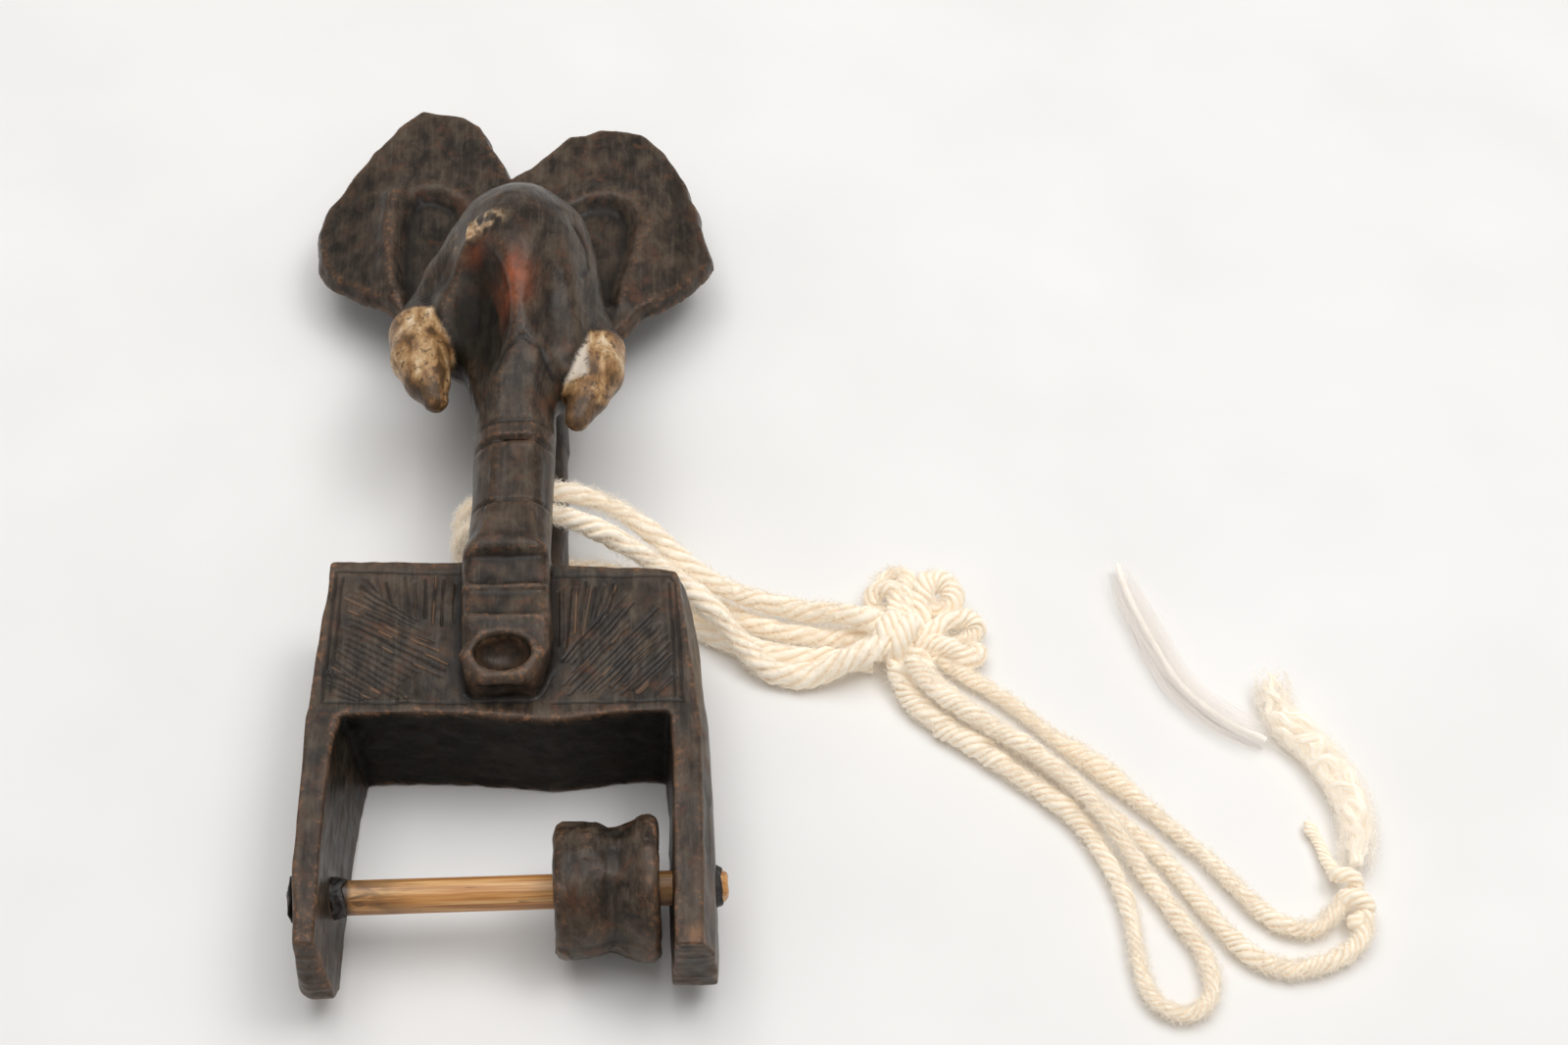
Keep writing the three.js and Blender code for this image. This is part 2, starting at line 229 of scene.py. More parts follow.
def cone_distances(x, y, z, route):
    """Distance to the surface of each round cone in a chain through (x, y, z, radius) points."""
    for start, end in zip(np.array(route), np.array(route)[1:]):
        along = end[:3] - start[:3]
        dx, dy, dz = x - start[0], y - start[1], z - start[2]
        t = np.clip((dx * along[0] + dy * along[1] + dz * along[2]) / (along @ along), 0, 1)
        away = np.sqrt((dx - t * along[0]) ** 2 + (dy - t * along[1]) ** 2 + (dz - t * along[2]) ** 2)
        yield away - (start[3] + t * (end[3] - start[3]))


def horn(g, route, blend=0.6):
    """A chain of round cones, joined with fillets."""
    return functools.reduce(lambda a, b: join(a, b, blend), cone_distances(g.x, g.y, g.z, route))


def line_distance(x, y, route):
    """Distance in the plane to an open line."""
    nearest = np.inf
    for (ax, ay), (bx, by) in zip(route, route[1:]):
        ex, ey = bx - ax, by - ay
        t = np.clip(((x - ax) * ex + (y - ay) * ey) / (ex * ex + ey * ey), 0, 1)
        nearest = np.minimum(nearest, np.hypot(x - ax - t * ex, y - ay - t * ey))
    return nearest


def outline_distance(x, y, outline):
    """Distance in the plane to a closed outline, negative inside."""
    closed = outline + outline[:1]
    inside = np.zeros(np.broadcast(x, y).shape, bool)
    for (ax, ay), (bx, by) in zip(closed, closed[1:]):
        if ay != by:
            inside ^= ((ay > y) != (by > y)) & (x < (bx - ax) * (y - ay) / (by - ay) + ax)
    nearest = line_distance(x, y, closed)
    return np.where(inside, -nearest, nearest)


def cell_points(field, cells):
    """Where the surface crosses the edges of each cell, on average, counted in cells."""
    total = np.zeros((len(cells), 3))
    hits = np.zeros(len(cells))
    for axis in range(3):
        u, v = (axis + 1) % 3, (axis + 2) % 3
        step = np.eye(3, dtype=int)[axis]
        for a, b in np.ndindex(2, 2):
            start = cells.copy()
            start[:, u] += a
            start[:, v] += b
            f0, f1 = (field[tuple(p.T)] for p in (start, start + step))
            hit = (f0 < 0) != (f1 < 0)
            total[hit] += start[hit] + step * (f0[hit] / (f0[hit] - f1[hit]))[:, None]
            hits[hit] += 1
    return total / hits[:, None]


def quads_across(inside, number, axis):
    """A quad round each grid edge along an axis that leads into or out of the shape."""
    u, v = (axis + 1) % 3, (axis + 2) % 3
    before, after = np.delete(inside, -1, axis), np.delete(inside, 0, axis)
    edges = np.argwhere(before != after)
    room = np.array(number.shape)[[u, v]]
    edges = edges[(edges[:, [u, v]] > 0).all(1) & (edges[:, [u, v]] < room).all(1)]
    ring = []
    for a, b in ((1, 1), (0, 1), (0, 0), (1, 0)):
        cell = edges.copy()
        cell[:, u] -= a
        cell[:, v] -= b
        ring.append(number[tuple(cell.T)])
    ring = np.stack(ring, 1)
    leaving = before[tuple(edges.T)]
    return np.where(leaving[:, None], ring, ring[:, ::-1])


def surface_of(field, low, step):
    """The surface where a field is zero: a point in each crossed cell and a quad for each crossed edge."""
    inside = field < 0
    shape = tuple(n - 1 for n in field.shape)
    count = np.zeros(shape, np.uint8)
    for i, j, k in np.ndindex(2, 2, 2):
        count += inside[i:i + shape[0], j:j + shape[1], k:k + shape[2]]
    crossed = (count > 0) & (count < 8)
    number = np.full(shape, -1, np.int32)
    number[crossed] = np.arange(crossed.sum())
    points = low + step * cell_points(field, np.argwhere(crossed))
    return points, np.concatenate([quads_across(inside, number, axis) for axis in range(3)])


def settle(points, field, low, step):
    """Points moved onto the surface of a sampled field, in two rounds."""
    def sample(places):
        at = np.clip((places - low) / step, 0, np.array(field.shape) - 1.001)
        cell = np.floor(at).astype(int)
        t = at - cell
        total = 0
        for corner in np.ndindex(2, 2, 2):
            i, j, k = (cell + corner).T
            total = total + np.prod(np.where(corner, t, 1 - t), axis=1) * field[i, j, k]
        return total

    for _ in range(2):
        slope = np.stack([
            (sample(points + step * unit) - sample(points - step * unit)) / (2 * step) for unit in np.eye(3)
        ], 1)
        size = (slope ** 2).sum(1).clip(0.05)
        points = points - slope * (sample(points) / size)[:, None]
    return points


# ---------------------------------------------------------------------------------------------------------
# Camera, light and table
# ---------------------------------------------------------------------------------------------------------
CAMERA_AIM = (51.5, 89.4, 0.0)
CAMERA_DISTANCE = 505.0
CAMERA_AZIMUTH, CAMERA_ELEVATION, CAMERA_ROLL = (math.radians(d) for d in (5.0, 50.0, 2.5))
CAMERA_LENS = 60.1
# Each soft light's name, place and size in metres, and power in watts.
SOFTBOXES = (
    ("softbox_overhead", (0.05, 0.12, 1.00), 1.1, 7.2),
    ("softbox_left", (-0.42, 0.36, 1.15), 0.45, 0.8),
    ("softbox_right", (0.58, 0.0, 1.10), 0.45, 2.9),
)
SOFTBOX_AIM = (0.02, 0.0, 0.0)
ROOM_COLOUR, ROOM_STRENGTH = (1.0, 0.99, 0.975, 1), 0.41
TABLE_HALF = 0.9                                   # half the table's width, in metres


def make_camera():
    """The camera, from where it looks, how far away it is, and its turns about the three axes."""
    a, e, r = CAMERA_AZIMUTH, CAMERA_ELEVATION, CAMERA_ROLL
    forward = Vector((math.sin(a) * math.cos(e), math.cos(a) * math.cos(e), -math.sin(e)))
    level = Vector((math.cos(a), -math.sin(a), 0))
    up = level.cross(forward)
    right = level * math.cos(r) + up * math.sin(r)
    up = up * math.cos(r) - level * math.sin(r)
    place = Vector(np.array(CAMERA_AIM) * MM + ORIGIN) - forward * CAMERA_DISTANCE * MM
    camera = bpy.data.objects.new("camera", bpy.data.cameras.new("camera"))
    turn = Matrix((right, up, -forward)).transposed().to_4x4()
    camera.matrix_world = Matrix.Translation(place) @ turn
    camera.data.lens = CAMERA_LENS
    camera.data.clip_start = 0.01
    bpy.context.scene.collection.objects.link(camera)
    bpy.context.scene.camera = camera


def make_light():
    """Square soft lights aimed at the carving, in an evenly lit room."""
    for name, place, size, watts in SOFTBOXES:
        data = bpy.data.lights.new(name, "AREA")
        data.size = size
        data.energy = watts
        light = bpy.data.objects.new(name, data)
        light.location = place
        aim = Vector(SOFTBOX_AIM) - light.location
        light.rotation_euler = aim.to_track_quat("-Z", "Y").to_euler()
        bpy.context.scene.collection.objects.link(light)
    world = bpy.data.worlds.new("studio")
    world.use_nodes = True
    room = world.node_tree.nodes["Background"].inputs
    room["Color"].default_value = ROOM_COLOUR
    room["Strength"].default_value = ROOM_STRENGTH
    bpy.context.scene.world = world


class Recipe:
    """A procedural material: helpers that add nodes and return their outputs."""

    def __init__(self, name):
        self.material = bpy.data.materials.new(name)
        self.material.use_nodes = True
        self.tree = self.material.node_tree
        self.shader = self.tree.nodes["Principled BSDF"]
        self.place = self.add("ShaderNodeTexCoord").outputs["Object"]

    def add(self, kind, **settings):
        """A new node."""
        node = self.tree.nodes.new(kind)
        for key, value in settings.items():
            setattr(node, key, value)
        return node

    def put(self, socket, value):
        """Sets a socket to a number or a colour, or links it to another node's output."""
        if isinstance(value, bpy.types.NodeSocket):
            self.tree.links.new(value, socket)
        elif isinstance(value, tuple) and len(value) == 3 and socket.type == "RGBA":
            socket.default_value = (*value, 1)
        else:
            socket.default_value = value

    def set(self, **values):
        """Sets the shader's own sockets."""
        for key, value in values.items():
            self.put(self.shader.inputs[key.replace("_", " ")], value)

    def scaled(self, vector, scale):
        """A vector times a scale for each axis."""
        node = self.add("ShaderNodeMapping")
        self.put(node.inputs["Vector"], vector)
        node.inputs["Scale"].default_value = scale
        return node.outputs["Vector"]

    def noise(self, scale, detail=3.0, roughness=0.55, distortion=0.0, where=None):
        """Noise that changes at scale times a millimetre in object space, or at the places given."""
        node = self.add("ShaderNodeTexNoise")
        scale = (scale,) * 3 if isinstance(scale, (int, float)) else scale
        self.put(node.inputs["Vector"], where or self.scaled(self.place, [s / MM for s in scale]))
        node.inputs["Scale"].default_value = 1
        node.inputs["Detail"].default_value = detail
        node.inputs["Roughness"].default_value = roughness
        node.inputs["Distortion"].default_value = distortion
        return node.outputs["Fac"]

    def ramp(self, value, *stops):
        """Maps a number through (place, colour or number) stops."""
        node = self.add("ShaderNodeValToRGB")
        self.put(node.inputs["Fac"], value)
        band = node.color_ramp.elements
        while len(band) < len(stops):
            band.new(0.5)
        for element, (place, colour) in zip(band, stops):
            element.position = place
            element.color = (*colour, 1) if isinstance(colour, tuple) else (colour,) * 3 + (1,)
        return node.outputs["Color"]

    def math(self, operation, a, b):
        """One step of arithmetic on two numbers."""
        node = self.add("ShaderNodeMath", operation=operation)
        self.put(node.inputs[0], a)
        self.put(node.inputs[1], b)
        return node.outputs["Value"]

    def mix(self, factor, a, b):
        """Colour a where the factor is 0, and b where it is 1."""
        node = self.add("ShaderNodeMix", data_type="RGBA")
        self.put(node.inputs["Factor"], factor)
        self.put(node.inputs[6], a)
        self.put(node.inputs[7], b)
        return node.outputs[2]

    def attribute(self, name):
        """A number that the mesh holds for each point."""
        return self.add("ShaderNodeAttribute", attribute_name=name).outputs["Fac"]

    def bump(self, height, distance, strength):
        """A normal bent by a height, as if the surface stood distance millimetres up where it is 1."""
        node = self.add("ShaderNodeBump")
        node.inputs["Distance"].default_value = distance * MM
        node.inputs["Strength"].default_value = strength
        self.put(node.inputs["Height"], height)
        return node.outputs["Normal"]


def make_table():
    """A pale matt table top, gently mottled."""
    mesh = bpy.data.meshes.new("table_top")
    corners = [(TABLE_HALF * x, TABLE_HALF * y, 0) for x, y in ((-1, -1), (1, -1), (1, 1), (-1, 1))]
    mesh.from_pydata(corners, [], [(0, 1, 2, 3)])
    table = bpy.data.objects.new("table_top", mesh)
    bpy.context.scene.collection.objects.link(table)
    r = Recipe("pale_table")
    mottle = r.noise(0.02, detail=2)
    r.set(Base_Color=r.ramp(mottle, (0.3, (0.80, 0.79, 0.775)), (0.7, (0.84, 0.83, 0.815))),
          Roughness=0.75, Specular_IOR_Level=0.25)
    mesh.materials.append(r.material)


# ---------------------------------------------------------------------------------------------------------
# The cotton cord
# ---------------------------------------------------------------------------------------------------------
# Where each stretch of cord runs, in metres from the point of the table under the middle of the axle.
TURN_HIGH = [
    (0.067, 0.059, 0.007), (0.061, 0.0618, 0.0062), (0.054, 0.064, 0.0046), (0.046, 0.0658, 0.0056),
    (0.0386, 0.0678, 0.0076), (0.032, 0.0714, 0.0104), (0.0255, 0.0762, 0.0142), (0.018, 0.08, 0.0176),
    (0.01, 0.0816, 0.0197), (0.003, 0.0816, 0.0201), (-0.0034, 0.0811, 0.0194), (-0.0082, 0.0804, 0.0164),
    (-0.0097, 0.0796, 0.0112), (-0.0082, 0.0789, 0.0062), (-0.004, 0.0784, 0.0032), (0.002, 0.078, 0.0022),
    (0.009, 0.0776, 0.0021), (0.017, 0.0764, 0.0021), (0.025, 0.074, 0.0021), (0.033, 0.07, 0.0021),
    (0.041, 0.065, 0.0021), (0.049, 0.0612, 0.0021), (0.057, 0.0596, 0.0021), (0.066, 0.0588, 0.0024),
]
TURN_LOW = [
    (0.067, 0.054, 0.007), (0.0605, 0.0516, 0.0054), (0.054, 0.0506, 0.0026), (0.0475, 0.0518, 0.0026),
    (0.0426, 0.056, 0.0042), (0.0384, 0.061, 0.0066), (0.0334, 0.0654, 0.0094), (0.027, 0.0692, 0.0126),
    (0.02, 0.0724, 0.016), (0.013, 0.075, 0.0186), (0.0065, 0.0766, 0.0199), (0.0005, 0.0764, 0.0201),
    (-0.0052, 0.0758, 0.0189), (-0.0092, 0.0751, 0.0148), (-0.0095, 0.0744, 0.0094),
    (-0.0068, 0.0738, 0.0046), (-0.001, 0.0735, 0.0024), (0.006, 0.073, 0.0021), (0.014, 0.0718, 0.0021),
    (0.022, 0.0694, 0.0021), (0.03, 0.0656, 0.0021), (0.0378, 0.0604, 0.0021), (0.045, 0.0571, 0.0021),
    (0.052, 0.0551, 0.0021), (0.059, 0.0546, 0.0021), (0.066, 0.0538, 0.0024),
]
BIGHT = [
    (0.07, 0.051, 0.0035), (0.0722, 0.045, 0.0022), (0.077, 0.0393, 0.0021), (0.083, 0.0343, 0.0021),
    (0.0885, 0.0292, 0.0021), (0.094, 0.024, 0.0021), (0.0988, 0.0187, 0.0021), (0.102, 0.0128, 0.0021),
    (0.1043, 0.0065, 0.0021), (0.1058, 0, 0.0021), (0.1061, -0.007, 0.0021), (0.1063, -0.0126, 0.0021),
    (0.1076, -0.0179, 0.0021), (0.1115, -0.021, 0.0021), (0.1158, -0.0198, 0.0021),
    (0.1179, -0.0156, 0.0021),
    (0.1174, -0.0096, 0.0021), (0.1148, -0.004, 0.0021), (0.1124, 0.001, 0.0021), (0.1098, 0.006, 0.0025),
    (0.1067, 0.0114, 0.0042), (0.1032, 0.0168, 0.0057), (0.099, 0.023, 0.0061), (0.093, 0.0297, 0.0061),
    (0.087, 0.0348, 0.0061), (0.081, 0.0398, 0.0061), (0.0762, 0.0444, 0.0062), (0.0722, 0.0504, 0.0066),
]
TAIL_INNER = [
    (0.0744, 0.0526, 0.003), (0.077, 0.0482, 0.0022), (0.0815, 0.0433, 0.0021), (0.0865, 0.0386, 0.0021),
    (0.092, 0.0334, 0.0021), (0.097, 0.0283, 0.0021), (0.1018, 0.0229, 0.0021), (0.1058, 0.0182, 0.0021),
    (0.1092, 0.0146, 0.0021), (0.112, 0.0113, 0.0021), (0.1154, 0.006, 0.0021), (0.1186, 0, 0.0021),
    (0.122, -0.006, 0.0021), (0.126, -0.0108, 0.0021), (0.131, -0.0131, 0.0021), (0.136, -0.0128, 0.0021),
    (0.141, -0.011, 0.0022), (0.1448, -0.008, 0.0028), (0.146, -0.0036, 0.0032),
]
TAIL_OUTER = [
    (0.0766, 0.0558, 0.0032), (0.0803, 0.0522, 0.0022), (0.085, 0.0482, 0.0021), (0.0902, 0.0437, 0.0021),
    (0.0946, 0.0386, 0.0021), (0.099, 0.034, 0.0021), (0.1036, 0.0298, 0.0021), (0.1082, 0.0248, 0.0021),
    (0.1126, 0.0194, 0.0021), (0.117, 0.014, 0.0021), (0.1214, 0.0088, 0.0021), (0.1248, 0.0036, 0.0021),
    (0.1283, -0.0012, 0.0021), (0.1323, -0.0048, 0.0021), (0.1372, -0.0056, 0.0022),
    (0.1414, -0.0026, 0.0028), (0.144, 0, 0.003),
]
FRAYED_END = [
    (0.1464, 0.006, 0.0032), (0.1475, 0.01, 0.0031), (0.1484, 0.0145, 0.0031), (0.148, 0.02, 0.0031),
    (0.1462, 0.026, 0.0031), (0.1434, 0.0315, 0.0031), (0.14, 0.036, 0.0031), (0.1384, 0.041, 0.0031),
    (0.1388, 0.047, 0.0031),
]
WISPY_TAIL = [
    (0.1356, 0.0336, 0.0024), (0.1314, 0.0362, 0.0024), (0.1274, 0.0396, 0.0024), (0.1236, 0.044, 0.0024),
    (0.1208, 0.049, 0.0024), (0.1188, 0.055, 0.0024), (0.1168, 0.0615, 0.0024), (0.115, 0.0685, 0.0024),
    (0.1142, 0.075, 0.0024),
]
PLY_END = [
    (0.1426, 0.0055, 0.0024), (0.1417, 0.0095, 0.0016), (0.141, 0.013, 0.0015), (0.1399, 0.0165, 0.0015),
]

# Small twisted loops that stand off the main knot, each with its strand's radius, in sculpting millimetres.
TUFT_LOOPS = [
    ([(72.4, 58, 5.2), (72.6, 62.4, 6.2), (73, 66.4, 6.4), (72.8, 70.2, 6.2), (70.2, 71.2, 5.4),
      (67.8, 69.8, 5)], 1.75),
    ([(71, 59.6, 5), (71, 63.6, 6), (70.6, 67, 6.6), (67.6, 67.8, 5.2), (66.4, 65.4, 3.6),
      (69, 64.2, 3.2)], 1.75),
    ([(73.6, 59, 4.6), (75, 62.6, 5.4), (75.6, 66.4, 6.4), (77.8, 68.8, 6.6), (80.6, 68.4, 6),
      (81.6, 65.8, 5), (80.2, 63.8, 4.4), (77.8, 63.4, 4.8), (77, 65.4, 6)], 2.3),
    ([(74, 57, 4.6), (77.4, 58.6, 5.2), (80.6, 60.4, 5.4), (83.6, 61.4, 4.6), (85.4, 60.2, 3.2),
      (84, 58.4, 2.4), (80, 57.6, 2.4)], 1.75),
    ([(73.6, 55.4, 4.4), (76.8, 55.8, 4.8), (79.8, 54.8, 4.6), (82.4, 53.2, 3.8), (84.8, 53.6, 3),
      (85.2, 55.6, 2.6), (83, 56.8, 2.2)], 1.75),
]
# The wraps of the two knots: a helix from start to end, a reach from its middle.
MAIN_KNOT = {"start": (65.8, 58.0, 5.3), "end": (73.6, 55.4, 5.2), "turns": 2.6, "reach": 3.1}
END_KNOT = {"start": (145.6, -5.6, 3.2), "end": (143.6, 5.6, 3.4), "turns": 2.4, "reach": 1.6}

STRAND_RADIUS = 1.9
STRAND_LAY = 11.0                                  # length along the cord in which its plies turn once
STRAND_PLIES = 5
RING_STEP = 0.4                                    # from one ring of a strand's points to the next
RING_SIDES = 40
KNOT_RADIUS, END_KNOT_RADIUS, STUB_RADIUS, PLY_RADIUS = 1.9, 1.5, 2.0, 1.15
TUFT_LAY = 8.5
HAIR_RADIUS = 0.04
EVEN = ((0, 1), (1, 1))                            # a swell that keeps one thickness all the way


def smooth_line(route, step):
    """Points about step apart on a Catmull-Rom curve through a route, and how far along each one is."""
    p = np.asarray(route, float)
    p = np.concatenate([2 * p[:1] - p[1:2], p, 2 * p[-1:] - p[-2:-1]])
    t = np.linspace(0, 1, 17)[:-1, None]
    spans = [
        0.5 * (2 * b + (c - a) * t + (2 * a - 5 * b + 4 * c - d) * t ** 2 + (3 * b - a - 3 * c + d) * t ** 3)
        for a, b, c, d in zip(p, p[1:], p[2:], p[3:])
    ]
    line = np.concatenate(spans + [p[-2:-1]])
    along = distance_along(line)
    at = np.linspace(0, along[-1], max(3, round(along[-1] / step) + 1))
    return np.stack([np.interp(at, along, line[:, k]) for k in range(3)], 1), at


def unit(vectors):
    """The vectors, each scaled to a length of 1."""
    return vectors / np.linalg.norm(vectors, axis=-1, keepdims=True)


def line_frames(line):
    """Unit vectors along a line and to two sides of it, which turn as little as they can."""
    forward = unit(np.gradient(line, axis=0))
    side = np.cross(forward[0], (0.1, 0.2, 1.0))
    sides = []
    for f in forward:
        side = unit(side - f * (side @ f))
        sides.append(side)
    return forward, np.array(sides), np.cross(forward, sides)


def tube_faces(rings, sides):
    """Triangles that join rings of points, and close each end with a point of its own."""
    start = np.arange(rings - 1)[:, None] * sides
    turn = np.arange(sides)
    ahead = (turn + 1) % sides
    a, b = (start + turn).ravel(), (start + ahead).ravel()
    last = (rings - 1) * sides
    low_centre, high_centre = (np.full(sides, rings * sides + k) for k in (0, 1))
    return np.concatenate([
        np.stack([a, b, b + sides], 1),
        np.stack([a, b + sides, a + sides], 1),
        np.stack([ahead, turn, low_centre], 1),
        np.stack([turn + last, ahead + last, high_centre], 1),
    ])


class Fibres:
    """Strands and hairs gathered into one mesh, with the depth in its grooves and the run of its fibres."""

    def __init__(self, seed):
        self.random = np.random.default_rng(seed)
        self.points, self.faces, self.groove, self.run = [], [], [], []
        self.count = 0

    def gather(self, points, faces, groove, run):
        """Adds points and triangles to the mesh."""
        self.points.append(points)
        self.faces.append(faces + self.count)
        self.groove.append(groove)
        self.run.append(run)
        self.count += len(points)

    def strand(self, route, radius, swell=EVEN, grip=0.5, lay=STRAND_LAY):
        """A soft strand: grip is how far its plies stand apart, and swell how its thickness changes."""
        line, along = smooth_line(route, RING_STEP)
        _, side, other = line_frames(line)
        ply = np.arange(RING_SIDES) * 2 * np.pi / RING_SIDES
        half_ply = np.pi / STRAND_PLIES
        off_middle = (ply + half_ply) % (2 * half_ply) - half_ply
        reach = grip * np.cos(off_middle) + np.sqrt((1 - grip) ** 2 - (grip * np.sin(off_middle)) ** 2)
        number = np.round(ply * STRAND_PLIES / (2 * np.pi)) % STRAND_PLIES
        first, second = self.random.uniform(0, 30, 2)
        where = np.stack(np.broadcast_arrays(along[:, None] / 3.0, 7.3 * number, first), -1)
        slow = np.stack([along / 8.0, 0 * along, 0 * along + second], -1)
        size = radius * curve(along / along[-1], swell) * (1 + 0.2 * value_noise(slow, 1, 31))
        size = size[:, None] * (1 + 0.20 * value_noise(where, 1, 32)) * reach
        # The plies turn to the left on their way up the strand, tighter in some places than in others.
        wander = along + 1.6 * value_noise(slow * 1.7, 1, 35)
        angle = ply - 2 * np.pi * wander[:, None] / lay
        out = side[:, None] * np.cos(angle)[..., None] + other[:, None] * np.sin(angle)[..., None]
        points = line[:, None] + out * size[..., None]
        lumps = 0.16 * value_noise(points, 1.1, 33) + 0.07 * value_noise(points, 0.5, 34)
        points = points + out * lumps[..., None]
        points = np.concatenate([points.reshape(-1, 3), line[[0, -1]]])
        points[:, 2] = np.maximum(points[:, 2], 0.04)
        # The cotton material paints shade into these grooves.
        groove = np.tile((1 - reach) / (1 - reach.min()), len(line))
        run = np.stack(np.broadcast_arrays(np.cos(ply) * 2, np.sin(ply) * 2, along[:, None]), -1)
        run = np.concatenate([run.reshape(-1, 3), np.zeros((2, 3))])
        self.gather(points, tube_faces(len(line), RING_SIDES), np.append(groove, (0, 0)), run)

    def hairs(self, paths, thickness):
        """A thin three-sided hair along each path, tapering to both ends."""
        count, knots = paths.shape[:2]
        forward = unit(np.gradient(paths, axis=1))
        side = unit(np.cross(forward, (0.36, 0.48, 0.8)))
        other = np.cross(forward, side)
        share = np.linspace(-1, 1, knots)[:, None, None]
        radius = thickness * (1 - 0.85 * share ** 4)
        angle = (np.arange(3) * 2 * np.pi / 3)[:, None]
        spokes = side[:, :, None] * np.cos(angle) + other[:, :, None] * np.sin(angle)
        rings = paths[:, :, None] + radius * spokes
        points = np.concatenate([rings.reshape(count, -1, 3), paths[:, [0, -1]]], 1)
        points[..., 2] = np.maximum(points[..., 2], 0.02)
        each = points.shape[1]
        faces = tube_faces(knots, 3) + each * np.arange(count)[:, None, None]
        run = np.zeros((count * each, 3))
        self.gather(points.reshape(-1, 3), faces.reshape(-1, 3), run[:, 0], run)

    def fuzz(self, route, radius, per_mm, reach, swell=EVEN):
        """Loose hairs that stand off a strand."""
        line, along = smooth_line(route, 0.5)
        forward, side, other = line_frames(line)
        size = radius * curve(along / along[-1], swell)[:, None]
        count = int(along[-1] * per_mm)
        at = self.random.integers(0, len(line), count)
        angle = self.random.uniform(0, 2 * np.pi, count)[:, None]
        out = side[at] * np.cos(angle) + other[at] * np.sin(angle)
        across = other[at] * np.cos(angle) - side[at] * np.sin(angle)
        away, ahead, aside, bend, droop = self.random.uniform(-1, 1, (5, count, 1))
        lean = out * (0.6 + 0.4 * away) + forward[at] * ahead * 1.3 + across * aside * 0.8
        curl = across * bend * 0.5 - out * (0.3 + 0.3 * droop)
        length = reach * self.random.uniform(0.4, 1.0, (count, 1, 1))
        t = np.linspace(0, 1, 4)[:, None]
        root = (line[at] + out * 0.82 * size[at])[:, None]
        self.hairs(root + length * (lean[:, None] * t + curl[:, None] * t ** 2), HAIR_RADIUS)

    def plies(self, route, count, radius, reach, lay):
        """Soft plies wound loosely about a route; reach is how far they keep from its middle on the way."""
        line, along = smooth_line(route, 2.0)
        _, side, other = line_frames(line)
        for start in np.arange(count) * 2 * np.pi / count:
            wander = 0.5 * self.random.normal(0, 1, len(line))
            angle = (start - 2 * np.pi * along / lay + wander)[:, None]
            away = curve(along / along[-1], reach)[:, None] * self.random.uniform(0.6, 1.15, (len(line), 1))
            own = line + away * (side * np.cos(angle) + other * np.sin(angle))
            first, last = self.random.integers(0, 3), self.random.integers(0, 4)
            own = own[first:len(own) - last] if start else own
            self.strand(own, radius, swell=((0, 0.6), (0.3, 1), (0.7, 1), (1, 0.35)), grip=0.25, lay=24)

    def roving(self, route, radius, count, thickness, width):
        """A loose band of fibres that run along a route; width is how its half width changes on the way."""
        line, _ = smooth_line(route, 0.8)
        _, side, other = line_frames(line)
        share = self.random.uniform(0.2, 0.6, (count, 1))
        start = np.clip(self.random.uniform(-0.25, 1.25, (count, 1)), 0, 1) * (1 - share)
        t = np.linspace(0, 1, 14)
        at = (start + share * t) * (len(line) - 1)
        place, across, over = (
            np.stack([np.interp(at, np.arange(len(line)), rows[:, k]) for k in range(3)], -1)
            for rows in (line, side, other)
        )
        reach = radius * np.sqrt(self.random.uniform(0, 1, (count, 1))) * curve(at / (len(line) - 1), width)
        bulge = 1 + self.random.normal(0, 0.25, (count, 1)) * np.sin(np.pi * t)
        reach = np.minimum(reach * bulge, radius * 1.2)
        angle = self.random.uniform(0, 2 * np.pi, (count, 1)) + self.random.normal(0, 0.8, (count, 1)) * t
        pace, first = self.random.uniform(3, 9, (count, 1)), self.random.uniform(0, 6, (count, 1))
        sway = 0.35 * np.sin(pace * t + first)
        off = across * (reach * np.cos(angle) + sway)[..., None] + over * (reach * np.sin(angle))[..., None]
        self.hairs(place + off, thickness)

    def build(self, name):
        """The mesh piece made of all that has been gathered."""
        points, faces = np.concatenate(self.points), np.concatenate(self.faces)
        piece = build_mesh(name, points, faces, "carving")
        set_attribute(piece, "groove", np.concatenate(self.groove))
        layer = piece.data.attributes.new("run", "FLOAT_VECTOR", "POINT")
        layer.data.foreach_set("vector", np.concatenate(self.run).astype(np.float32).ravel())
        return piece


def knot_route(wraps):
    """A helix from one end of a knot to the other, drawn in at both ends."""
    start, end = np.array(wraps["start"]), np.array(wraps["end"])
    forward = unit(end - start)
    side = unit(np.cross(forward, (0, 0, 1)))
    over = np.cross(side, forward)
    t = np.linspace(0, 1, 30)[:, None]
    angle = 2 * np.pi * wraps["turns"] * t + 2.2
    reach = wraps["reach"] * np.minimum(1, 0.35 + 6 * np.minimum(t, 1 - t))
    return start + (end - start) * t + reach * (side * np.cos(angle) + over * np.sin(angle))


def stub_route(route):
    """A short way from the end of a stretch that lies nearer the main knot into the middle of the knot."""
    middle = (np.array(MAIN_KNOT["start"]) + MAIN_KNOT["end"]) / 2
    if np.linalg.norm(route[0] - middle) < np.linalg.norm(route[-1] - middle):
        route = route[::-1]
    inner, end = route[-2], route[-1]
    return [inner + 0.5 * (end - inner), end, 0.5 * (end + middle), middle]


def route_mm(route):
    """A route in sculpting millimetres."""
    return np.array(route) / MM


